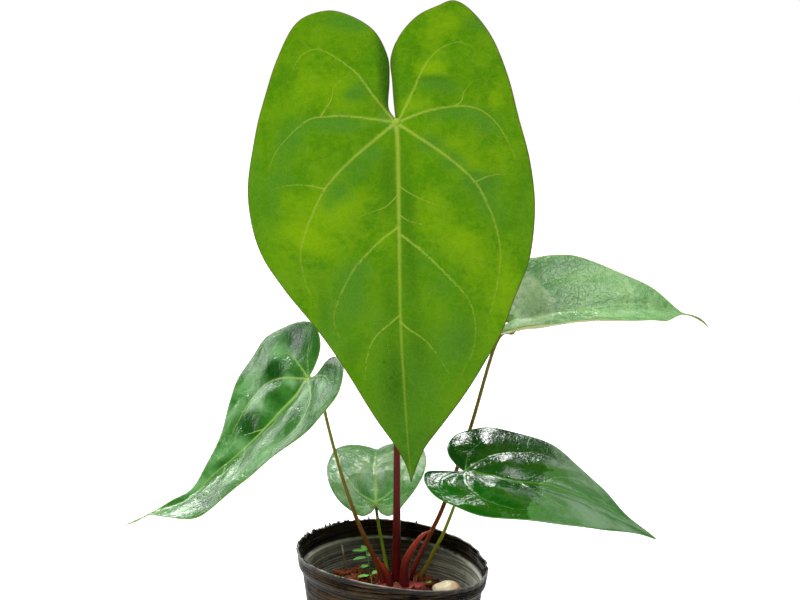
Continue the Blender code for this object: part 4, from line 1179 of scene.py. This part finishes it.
maroon_stalk = stalk_material("maroon_stalk", (0.09, 0.006, 0.006), (0.15, 0.015, 0.008),
                              (0.26, 0.05, 0.014), (0.36, 0.52, 0.05))
red_brown_stalk = stalk_material("red_brown_stalk", (0.14, 0.014, 0.01), (0.2, 0.05, 0.008),
                                 (0.27, 0.23, 0.03), (0.25, 0.36, 0.04))
olive_stalk = stalk_material("olive_stalk", (0.13, 0.016, 0.008), (0.19, 0.09, 0.01), (0.32, 0.31, 0.04),
                             (0.3, 0.42, 0.05))
green_stalk = stalk_material("green_stalk", (0.14, 0.1, 0.008), (0.17, 0.22, 0.01), (0.17, 0.26, 0.014),
                             (0.35, 0.5, 0.08))
golden_stalk = stalk_material("golden_stalk", (0.22, 0.1, 0.014), (0.25, 0.25, 0.015), (0.27, 0.35, 0.03),
                              (0.3, 0.45, 0.05))
petiole(
    "main", main_blade,
    [(2.5, 4.0, FOOT, 3.6), (2.5, 4.0, ABOVE_FOOT, 3.4), (2.5, 3.0, 28.0, 2.9), (2.6, 1.5, 42.0, 2.6),
     (2.7, 0.0, 62.0, 2.35), (2.8, -1.5, 105.0, 2.1), (2.8, -1.8, 170.0, 2.0), (2.7, -1.8, 240.0, 1.9),
     (2.5, -1.5, 288.0, 1.85)],
    1.9, maroon_stalk, "red_stalk",
)
petiole(
    "left", left_blade,
    [(-6.0, 2.0, FOOT, 2.0), (-6.6, 2.0, ABOVE_FOOT, 1.9), (-10.9, 2.0, 28.7, 1.65), (-17.3, 2.0, 43.1, 1.45),
     (-23.5, 2.2, 59.0, 1.25), (-32.6, 3.0, 88.0, 1.1), (-40.8, 4.4, 121.0, 1.0)],
    1.0, olive_stalk, "olive_stalk",
)
petiole(
    "small_back", small_back_blade,
    [(-3.0, 9.0, FOOT, 1.4), (-3.2, 10.0, ABOVE_FOOT, 1.35), (-4.4, 14.5, 22.0, 1.2), (-6.4, 19.0, 31.0, 1.1),
     (-8.6, 24.0, 40.5, 1.0)],
    0.95, green_stalk, "olive_stalk",
)
petiole(
    "back_right", back_right_blade,
    [(11.0, 5.5, FOOT, 2.0), (11.7, 5.9, ABOVE_FOOT, 1.9), (16.2, 9.0, 26.4, 1.65), (23.8, 14.0, 41.1, 1.45),
     (33.1, 20.0, 60.0, 1.35), (49.6, 34.5, 105.1, 1.2), (65.2, 33.0, 162.0, 1.1)],
    1.1, red_brown_stalk, "red_stalk",
)
petiole(
    "right", right_blade,
    [(17.0, 6.3, FOOT, 1.5), (17.8, 6.3, ABOVE_FOOT, 1.4), (22.0, 6.0, 23.6, 1.3), (26.8, 5.0, 34.8, 1.2),
     (31.8, 3.6, 45.3, 1.1), (38.2, -1.5, 65.0, 1.0), (41.6, -6.5, 77.0, 0.95)],
    0.95, golden_stalk, "olive_stalk",
)


# The crown's own body: lumpy, ringed by leaf scars, and torn open where the newest stalks came out
def make_crown():
    low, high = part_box("crown")
    middle = (low + high) / 2 / MM
    half = (high - low) / 2 / MM
    rows, sides = 34, 72
    points, share = [], []
    for row in range(rows + 1):
        t = row / rows
        level = low.z / MM + 2 * half.z * min(t / 0.8, 1.0)
        shrink = 1.0 if t <= 0.8 else 1.0 - (t - 0.8) / 0.2
        waist = 0.55 + 0.43 * math.sin(math.pi * 0.5 * min(t / 0.55, 1.0))
        for i in range(sides):
            angle = 2 * math.pi * i / sides
            scar = 0.045 * math.sin(level * 2.4 + 1.8 * math.sin(angle * 2 + 1.0))
            lumps = 0.1 * noise.noise(Vector((2 * math.cos(angle), 2 * math.sin(angle), level * 0.2)))
            wide = (waist + scar * (shrink == 1.0) + lumps) * shrink
            x, y = wide * math.cos(angle), wide * math.sin(angle)
            dome = 1.6 * (1.0 - shrink) + 0.8 * noise.noise(Vector((x, y, 5)))
            points.append((middle.x + half.x * wide * math.cos(angle),
                           middle.y + half.y * wide * math.sin(angle),
                           level + (dome if shrink < 1.0 else 0.0) - 0.4))
            share.append(0.12)
    points.append((middle.x, middle.y, high.z / MM + 1.0))
    share.append(0.12)
    faces = ring_faces(0, rows, sides)
    last = rows * sides
    faces += [(last + i, last + (i + 1) % sides, len(points) - 1) for i in range(sides)]
    faces.append(tuple(reversed(range(sides))))
    return build("crown_body", points, faces, share=share)


crown_stalk = stalk_material("crown_skin", (0.22, 0.03, 0.026), (0.3, 0.05, 0.04), (0.34, 0.08, 0.04),
                             (0.3, 0.3, 0.05), rough=0.42)
finish(make_crown(), crown_stalk, "red_stalk", "crown")


def sheet_faces(rows, columns, flip=False):
    """Faces of a closed sheet, whose points are a grid for one side and then a grid for the other."""
    n = (rows + 1) * (columns + 1)
    faces = []
    for i in range(rows):
        for j in range(columns):
            a = i * (columns + 1) + j
            loop = (a, a + 1, a + columns + 2, a + columns + 1)
            if flip:
                loop = loop[:1] + loop[:0:-1]
            faces += [loop, tuple(n + k for k in reversed(loop))]
    border = list(range(columns + 1)) + [i * (columns + 1) + columns for i in range(1, rows + 1)]
    border += [rows * (columns + 1) + j for j in reversed(range(columns))]
    border += [i * (columns + 1) for i in reversed(range(1, rows))]
    for a, b in zip(border, border[1:] + border[:1]):
        faces.append((a, b, n + b, n + a) if flip else (b, a, n + a, n + b))
    return faces


# Torn sheaths: thin papery scales round the crown, each one a curved strip that frays at its tip
def scale_leaf(foot, facing, height, width, lean, chance):
    rows, columns = 10, 8
    out = np.array([math.cos(facing), math.sin(facing), 0.0])
    side = np.array([-math.sin(facing), math.cos(facing), 0.0])
    points = []
    for thick in (0.0, 0.22):
        for i in range(rows + 1):
            t = i / rows
            wide = width * (1.0 - 0.82 * t**1.6)
            for j in range(columns + 1):
                w = 2 * j / columns - 1
                cup = 1.1 * (1.0 - w * w) * (1.0 - 0.5 * t)
                fray = (0.6 * chance.uniform(-1, 1) if i == rows else 0.0)
                p = np.array(foot) + side * w * wide + out * (cup + lean * t * t - thick)
                points.append(p + np.array([0.0, 0.0, height * t + fray - 0.8 * w * w * t]))
    return points, sheet_faces(rows, columns)


CROWN_MIDDLE = np.array([5.5, 2.5, 0.0])
chance = random.Random(23)
shapes = []
for bearing, reach, start, height, width, lean in (
    (-100, 0.93, -2.0, 9.0, 4.6, 1.6), (-62, 0.95, -3.0, 7.5, 4.0, 2.4), (-150, 0.95, -2.5, 7.0, 4.2, 2.2),
    (-128, 0.7, 0.0, 8.5, 3.4, 1.0), (170, 0.92, -2.0, 6.0, 4.0, 2.0), (-20, 0.95, -3.0, 8.0, 4.2, 2.4),
    (30, 0.9, -2.0, 7.0, 4.0, 1.8), (90, 0.95, -2.0, 7.0, 5.0, 1.6), (130, 0.92, -3.0, 8.0, 4.2, 2.2),
    (-80, 0.62, 0.5, 6.0, 2.4, 0.8), (0, 0.6, 0.0, 7.5, 2.6, 0.8),
):
    turn = math.radians(bearing)
    foot = (15.0 * reach * math.cos(turn), 10.0 * reach * math.sin(turn), CROWN_TOP + start - 2.0)
    shapes.append(scale_leaf(CROWN_MIDDLE + foot, turn, height, width, lean, chance))
points, faces, owner = join(shapes)
shade = np.array([chance.random() for _ in shapes])[owner]
torn_sheaths = build("torn_sheaths", points, faces, shade=shade)
papery, tree, shader = new_material("papery_sheath")
grain = cloudy(tree, object_place(tree, (1600.0, 1600.0, 160.0)), 1.0, 4.0)
tone = plus(tree, stored(tree, "shade"), grain)
colour = between(tree, spread(tree, tone, 0.4, 1.4), (0.12, 0.016, 0.012), (0.42, 0.15, 0.08))
tree.links.new(colour, shader.inputs["Base Color"])
shader.inputs["Roughness"].default_value = 0.6
bumpy(tree, shader, grain, 0.0003, 0.6)
finish(torn_sheaths, papery, "red_stalk")


# ---------------------------------------------------------------- spears and prop roots
# The spears are leaves still rolled in their sheaths: soft, red, and drawn out to a point. The prop roots
# are stout and smooth; they arch out of the mix beside the crown and back into it.

spear_skin = stalk_material("spear_skin", (0.1, 0.008, 0.01), (0.13, 0.012, 0.01), (0.34, 0.04, 0.016),
                            (0.45, 0.07, 0.02), rough=0.26, shine=0.4)
root_skin = stalk_material("root_skin", (0.2, 0.07, 0.02), (0.22, 0.1, 0.03), (0.2, 0.07, 0.02),
                           (0.22, 0.07, 0.02), rough=0.5)
spear_right = stalk(
    "rolled_leaf_right",
    above([(7.5, -3.0, FOOT, 3.2), (7.4, -3.1, ABOVE_FOOT, 3.2), (7.7, -3.8, 24.0, 3.1),
           (8.6, -4.2, 30.0, 2.9), (11.2, -5.0, 36.6, 2.3), (15.4, -5.0, 43.6, 1.7),
           (19.6, -4.0, 48.2, 1.1), (24.2, -3.0, 50.4, 0.3)]),
    sides=28,
)
finish(spear_right, spear_skin, "red_stalk", "spear_right")
spear_left = stalk(
    "rolled_leaf_left",
    above([(-1.5, -3.5, FOOT, 2.4), (-1.8, -3.6, ABOVE_FOOT, 2.3), (-3.4, -3.6, 21.5, 1.9),
           (-6.2, -4.2, 27.0, 1.3), (-9.4, -5.0, 32.7, 0.3)]),
    sides=28,
)
finish(spear_left, spear_skin, "red_stalk", "spear_left")


def on_mix(route):
    """A route whose heights are given above the mix's surface at each place, as true heights."""
    return [(x, y, mix_surface(x, y) + z, r) for x, y, z, r in route]


root_front = stalk("short_root_front", on_mix([(9.5, -11.5, 0.0, 1.2), (9.5, -11.5, 2.2, 1.2),
                                              (10.5, -9.9, 4.4, 1.4), (11.4, -9.2, 6.5, 1.2)]))
finish(root_front, root_skin, "olive_stalk", "prop_root_front")
root_left = stalk("short_root_left", on_mix([(-19.0, -7.5, 0.6, 0.8), (-17.0, -6.5, 2.6, 1.0),
                                            (-14.0, -4.8, 3.8, 1.2), (-11.9, -3.6, 3.6, 1.1)]))
finish(root_left, root_skin, "red_stalk", "prop_root_left")


# ---------------------------------------------------------------- pebble
# A stone the size of a hazelnut, washed smooth: cream, and stained orange where it lies against the wet
# mix.

PEBBLE_TURN = 0.35
low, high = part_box("pebble")
middle = (low + high) / 2 / MM
shape = bmesh.new()
bmesh.ops.create_icosphere(shape, subdivisions=5, radius=1.0)
points = []
for vert in shape.verts:
    p = vert.co.copy()
    lumps = 0.1 * noise.noise(p * 1.3 + Vector((3, 0, 0))) + 0.05 * noise.noise(p * 3.6)
    p *= 1.0 + lumps + 0.02 * noise.noise(p * 9)
    p = Vector((p.x * 9.4, p.y * 7.3, p.z * 5.2))
    cosine, sine = math.cos(PEBBLE_TURN), math.sin(PEBBLE_TURN)
    turned = Vector((p.x * cosine - p.y * sine, p.x * sine + p.y * cosine, p.z))
    points.append(turned + middle)
faces = [tuple(v.index for v in face.verts) for face in shape.faces]
shape.free()
pebble = build("pebble_stone", points, faces)
cream_stone, tree, shader = new_material("cream_stone")
place = object_place(tree)
parts = put(tree, "SeparateXYZ", {"Vector": place}).outputs
stain_noise = cloudy(tree, place, 260.0, 5.0)
low_side = spread(tree, parts["Z"], (middle.z - 4.5) * MM, (middle.z + 2.0) * MM, 1.0, 0.0)
right_side = spread(tree, parts["X"], (middle.x - 1.0) * MM, (middle.x + 8.0) * MM, 0.0, 0.8)
stain = combine(tree, "MAXIMUM", low_side, right_side)
stain = plus(tree, stain, combine(tree, "SUBTRACT", stain_noise, 0.5))
colour = between(tree, spread(tree, stain, 0.2, 0.9), (0.88, 0.76, 0.5), (0.5, 0.17, 0.03))
colour = between(tree, spread(tree, stain_noise, 0.5, 0.72, 0.0, 0.5), colour, (0.95, 0.9, 0.72))
tree.links.new(colour, shader.inputs["Base Color"])
shader.inputs["Roughness"].default_value = 0.4
bumpy(tree, shader, stain_noise, 0.0006, 0.6)
finish(pebble, cream_stone, "cream_stone", "pebble")


# ---------------------------------------------------------------- seedlings
# Three weeds in the mix: hair-thin pale stems, and small oval leaflets, each a soft blade folded along its
# midrib.

seedling_green, tree, shader = new_material("seedling_green")
mid = stored(tree, "mid")
place = object_place(tree)
tint = cloudy(tree, place, 500.0)
colour = between(tree, spread(tree, tint, 0.35, 0.65), (0.13, 0.44, 0.04), (0.24, 0.6, 0.1))
colour = between(tree, mid, colour, (0.42, 0.7, 0.3))
tree.links.new(colour, shader.inputs["Base Color"])
shader.inputs["Roughness"].default_value = 0.42


def leaflet(name, foot, heading, length, width, rise):
    """An oval leaflet: a fine sheet, cupped along its midrib, its tip turned down a little."""
    heading, rise = math.radians(heading), math.radians(rise)
    along = np.array([math.cos(rise) * math.cos(heading), math.cos(rise) * math.sin(heading), math.sin(rise)])
    side = np.array([-math.sin(heading), math.cos(heading), 0.0])
    up = np.cross(along, side)
    rows, columns = 22, 12
    points, mid = [], []
    for lift in (0.22, -0.22):
        for i in range(rows + 1):
            t = i / rows
            wide = width / 2 * (math.sin(math.pi * min(t + 0.02, 1.0)) ** 0.62 if 0 < i < rows else 0.04)
            for j in range(columns + 1):
                w = 2 * j / columns - 1
                edge = math.sqrt(max(0.0, 1.0 - w**4)) * min(1.0, 6 * t, 6 * (1 - t)) + 0.05
                high = 0.5 * width * 0.22 * abs(w) ** 1.5 - length * 0.09 * t * t + lift * edge
                high += 0.12 * math.sin(t * 9.0 + w * 3.0) * abs(w)
                points.append(np.array(foot) + along * (length * t + 0.3) + side * wide * w + up * high)
                mid.append(math.exp(-((w / 0.16) ** 2)) * (1.0 - t))
    piece = build(name, points, sheet_faces(rows, columns, flip=True), mid=mid)
    mend(piece)
    return piece


def seedling(name, base, stem, leaflets):
    """A stem from the mix, and leaflets (x, y, height over the mix, heading, length, width, rise)."""
    ground = mix_surface(*base)
    route = [(base[0], base[1], ground - 1.0, 0.3)]
    route += [(x, y, ground + z, 0.24 - 0.01 * i) for i, (x, y, z) in enumerate(stem)]
    track = smooth_route(route, 6)
    shapes = [tube(track, 8)[:2]]
    for number, (x, y, z, heading, length, width, rise) in enumerate(leaflets, 1):
        foot = (x, y, ground + z)
        nearest = track[np.argmin(np.linalg.norm(track[:, :3] - foot, axis=1))][:3]
        if np.linalg.norm(nearest - foot) > 0.3:
            stretch = [(*nearest, 0.22), (*((nearest + foot) / 2), 0.2), (*foot, 0.22)]
            shapes.append(tube(stretch, 6)[:2])
        piece = leaflet(f"{name}_leaf_{number}", foot, heading, length, width, rise)
        finish(piece, seedling_green, "seedling_green", f"{name}_leaflet_{number}")
    points, faces, owner = join(shapes)
    stem_piece = build(f"{name}_stalk", points, faces, mid=[0.0] * len(points))
    finish(stem_piece, seedling_green, "seedling_green", f"{name}_stem")


seedling(
    "seedling_tall", (-14.6, 13.0), [(-14.8, 13.1, 5.0), (-15.6, 13.8, 10.0), (-16.6, 14.6, 15.5)],
    [(-17.4, 14.8, 15.6, 186, 8.2, 4.8, 8), (-16.9, 15.6, 15.2, 118, 6.2, 4.2, 20),
     (-16.6, 13.4, 12.0, 190, 8.6, 4.8, -4), (-15.4, 12.4, 7.0, 215, 5.6, 4.5, 0),
     (-15.9, 15.4, 11.6, 70, 5.4, 4.0, 15)],
)
seedling(
    "seedling_low", (-13.0, 4.6), [(-13.4, 5.0, 3.4), (-13.8, 5.6, 6.6)],
    [(-14.7, 5.4, 6.4, 195, 7.4, 4.2, 2), (-13.2, 6.3, 6.8, 30, 5.6, 4.4, 18)],
)
seedling(
    "seedling_right", (20.5, 17.5), [(20.5, 17.6, 3.0), (20.6, 17.7, 5.0)],
    [(19.8, 17.8, 5.0, 170, 4.0, 2.6, 15), (21.4, 17.7, 5.0, 5, 3.6, 2.6, 15)],
)


# ---------------------------------------------------------------- dry stalk
# The dead end of an old stalk that stands in the mix: straw-brown, split at its tip, where it has bleached
# white.

ground = mix_surface(-29.0, 24.0)
track = smooth_route([(-29.0, 24.0, ground - 1.0, 0.75), (-29.8, 24.3, ground + 5.0, 0.7),
                      (-31.2, 25.0, ground + 9.5, 0.62), (-32.4, 26.0, ground + 16.0, 0.55)], 8)
points, faces, share = tube(track, 12, lambda turns, run, whole: 1.0 + 0.12 * np.sin(4 * turns + run * 0.6))
shapes = [(points, faces)]
shares = list(share)
for lean_x, lean_y, tall in ((-1.2, 0.3, 2.6), (0.5, 0.6, 1.8), (0.2, -0.7, 2.2), (-0.5, -0.3, 3.2)):
    tip = track[-1, :3]
    split = np.array([(*(tip - (0, 0, 1.2)), 0.34), (*(tip + (lean_x * 0.4, lean_y * 0.4, tall * 0.5)), 0.24),
                      (*(tip + (lean_x, lean_y, tall)), 0.06)])
    some, loops, _ = tube(split, 6)
    shapes.append((some, loops))
    shares += [1.0] * len(some)
points, faces, _ = join(shapes)
dry_stalk = build("dry_straw_stalk", points, faces, share=shares)
dry_straw, tree, shader = new_material("dry_straw")
streak = cloudy(tree, object_place(tree, (2500.0, 2500.0, 200.0)), 1.0)
share = stored(tree, "share")
colour = between(tree, spread(tree, streak, 0.4, 0.7), (0.16, 0.06, 0.02), (0.4, 0.22, 0.09))
colour = between(tree, spread(tree, share, 0.72, 0.95), colour, (0.68, 0.6, 0.45))
tree.links.new(colour, shader.inputs["Base Color"])
shader.inputs["Roughness"].default_value = 0.7
finish(dry_stalk, dry_straw, "dry_straw", "dry_stalk")


# ---------------------------------------------------------------- dew
# Drops left on the blades from misting: clear water in flattened caps. Each sits on the blade's own relief,
# most of them along the midribs of the right and the back right blade.


def drops(name, blade, places, chance):
    """Caps of water on a blade, at (u, v, radius)."""
    shapes = []
    rows, sides = 5, 12
    for u, v, radius in places:
        flat = np.array([[u, v], [u + 0.5, v], [u, v + 0.5]])
        lift = blade.relief(flat)[0] + BLADE_THICKNESS / 2
        base, right, ahead = blade.at(flat[:, 0], flat[:, 1], lift)
        right, ahead = right - base, ahead - base
        right /= np.linalg.norm(right)
        up = np.cross(right, ahead)
        up /= np.linalg.norm(up)
        ahead = np.cross(up, right)
        tall = radius * chance.uniform(0.45, 0.6)
        stretch = chance.uniform(0.9, 1.25)
        points = [base + up * tall]
        for row in range(1, rows + 1):
            t = row / rows * math.pi / 2
            for i in range(sides):
                a = 2 * math.pi * i / sides
                out = math.cos(a) * right + stretch * math.sin(a) * ahead
                height = tall * math.cos(t) - 0.03 * row / rows
                points.append(base + radius * math.sin(t) * out + up * height)
        points.append(base - up * 0.03)
        faces = [(0, 1 + i, 1 + (i + 1) % sides) for i in range(sides)]
        faces += ring_faces(1, rows - 1, sides, flip=True)
        last = 1 + (rows - 1) * sides
        faces += [(len(points) - 1, last + (i + 1) % sides, last + i) for i in range(sides)]
        shapes.append((points, faces))
    points, faces, _ = join(shapes)
    return build(name, points, faces)


water, tree, shader = new_material("water")
shader.inputs["Base Color"].default_value = (1.0, 1.0, 1.0, 1.0)
shader.inputs["Roughness"].default_value = 0.02
shader.inputs["IOR"].default_value = 1.33
shader.inputs["Transmission Weight"].default_value = 1.0
chance = random.Random(5)
main_drops = [
    (9.0, 132.0, 0.7), (11.0, 141.0, 0.55), (7.0, 150.0, 0.6), (13.0, 160.0, 0.5), (6.0, 168.0, 0.45),
    (16.0, 118.0, 0.5), (-15.0, 146.0, 0.45), (31.0, 110.0, 0.5),
]
finish(drops("dew_main", main_blade, main_drops, chance), water, "young_blade")
right_drops = []
for _ in range(26):
    v = chance.uniform(18, 62)
    right_drops.append((-3.0 - v * 0.03 + chance.gauss(0, 3.2), v, chance.uniform(0.3, 0.75)))
finish(drops("dew_right", right_blade, right_drops, chance), water, "old_blade")
back_drops = [(chance.uniform(-6, 12), chance.uniform(30, 88), chance.uniform(0.35, 0.7)) for _ in range(14)]
finish(drops("dew_back_right", back_right_blade, back_drops, chance), water, "old_blade")


# ---------------------------------------------------------------- floor, light and camera
# A white floor in a light room: one large soft lamp from the front left, and two that fill the shade. The
# screens and sparks behind and above light nothing, and only show as sheen and glints in the leaves.

bpy.ops.mesh.primitive_plane_add(size=4.4, location=(0.0, 0.4, -0.0005))
floor = bpy.context.object
floor.name = "floor"
white_floor, tree, shader = new_material("white_floor")
shader.inputs["Base Color"].default_value = (0.9, 0.9, 0.9, 1.0)
shader.inputs["Roughness"].default_value = 0.9
path = put(tree, "LightPath", {}).outputs["Is Camera Ray"]
tree.links.new(times(tree, path, 0.66), shader.inputs["Emission Strength"])
shader.inputs["Emission Color"].default_value = (1.0, 1.0, 1.0, 1.0)
floor.data.materials.append(white_floor)


def lamp(name, place, aim, size, power, glossy=True, diffuse=True):
    """A rectangular lamp at a place, turned to a point."""
    light = bpy.data.lights.new(name, "AREA")
    light.shape = "RECTANGLE"
    light.size, light.size_y = size
    light.energy = power
    stand = bpy.data.objects.new(name, light)
    stand.location = place
    stand.rotation_euler = (Vector(aim) - Vector(place)).to_track_quat("-Z", "Y").to_euler()
    stand.visible_glossy = glossy
    stand.visible_diffuse = diffuse
    bpy.context.scene.collection.objects.link(stand)


lamp("key", (-1.1, -1.5, 2.7), (0.0, 0.0, 0.2), (1.8, 1.8), 90.0, glossy=False)
lamp("fill_right", (2.2, -0.9, 1.9), (0.0, 0.0, 0.25), (1.6, 1.6), 12.0, glossy=False)
lamp("fill_back", (0.1, 0.9, 2.4), (0.0, 0.0, 0.1), (1.4, 1.0), 38.0, glossy=False)
lamp("screen_left", (-1.78, 1.38, 0.84), (-0.1, 0.0, 0.2), (1.7, 0.7), 11.0, diffuse=False)
lamp("screen_right", (1.54, 1.38, 1.84), (0.12, 0.0, 0.15), (1.5, 1.1), 12.5, diffuse=False)
lamp("screen_over_right", (0.93, -0.58, 2.1), (0.1, 0.0, 0.2), (1.2, 1.0), 28.0, diffuse=False)
lamp("screen_over_back", (-0.7, 1.26, 1.81), (0.0, 0.0, 0.14), (0.4, 0.75), 10.0, diffuse=False)
lamp("spark_back", (0.3, 1.42, 1.95), (0.03, 0.0, 0.15), (0.24, 0.5), 12.0, diffuse=False)
lamp("spark_low", (0.38, 1.93, 1.69), (0.0, 0.0, 0.15), (0.3, 0.36), 5.0, diffuse=False)
lamp("spark_left", (-1.09, 1.56, 1.25), (-0.13, 0.0, 0.16), (0.4, 0.3), 9.0, diffuse=False)

world = bpy.data.worlds.new("room")
world.use_nodes = True
tree = world.node_tree
room = tree.nodes["Background"]
room.inputs["Color"].default_value = (1.0, 1.0, 1.0, 1.0)
seen = put(tree, "LightPath", {}).outputs["Is Camera Ray"]
tree.links.new(spread(tree, seen, 0.0, 1.0, 0.06, 1.0), room.inputs["Strength"])
bpy.context.scene.world = world

camera = bpy.data.objects.new("camera", bpy.data.cameras.new("camera"))
camera.data.lens = 80.0
camera.data.sensor_width = 36.0
camera.location = (0.0047, -1.0438, 0.5352)
camera.rotation_euler = (math.radians(75.7), 0.0, 0.0)
bpy.context.scene.collection.objects.link(camera)
bpy.context.scene.camera = camera
bpy.context.scene.view_settings.view_transform = "Standard"
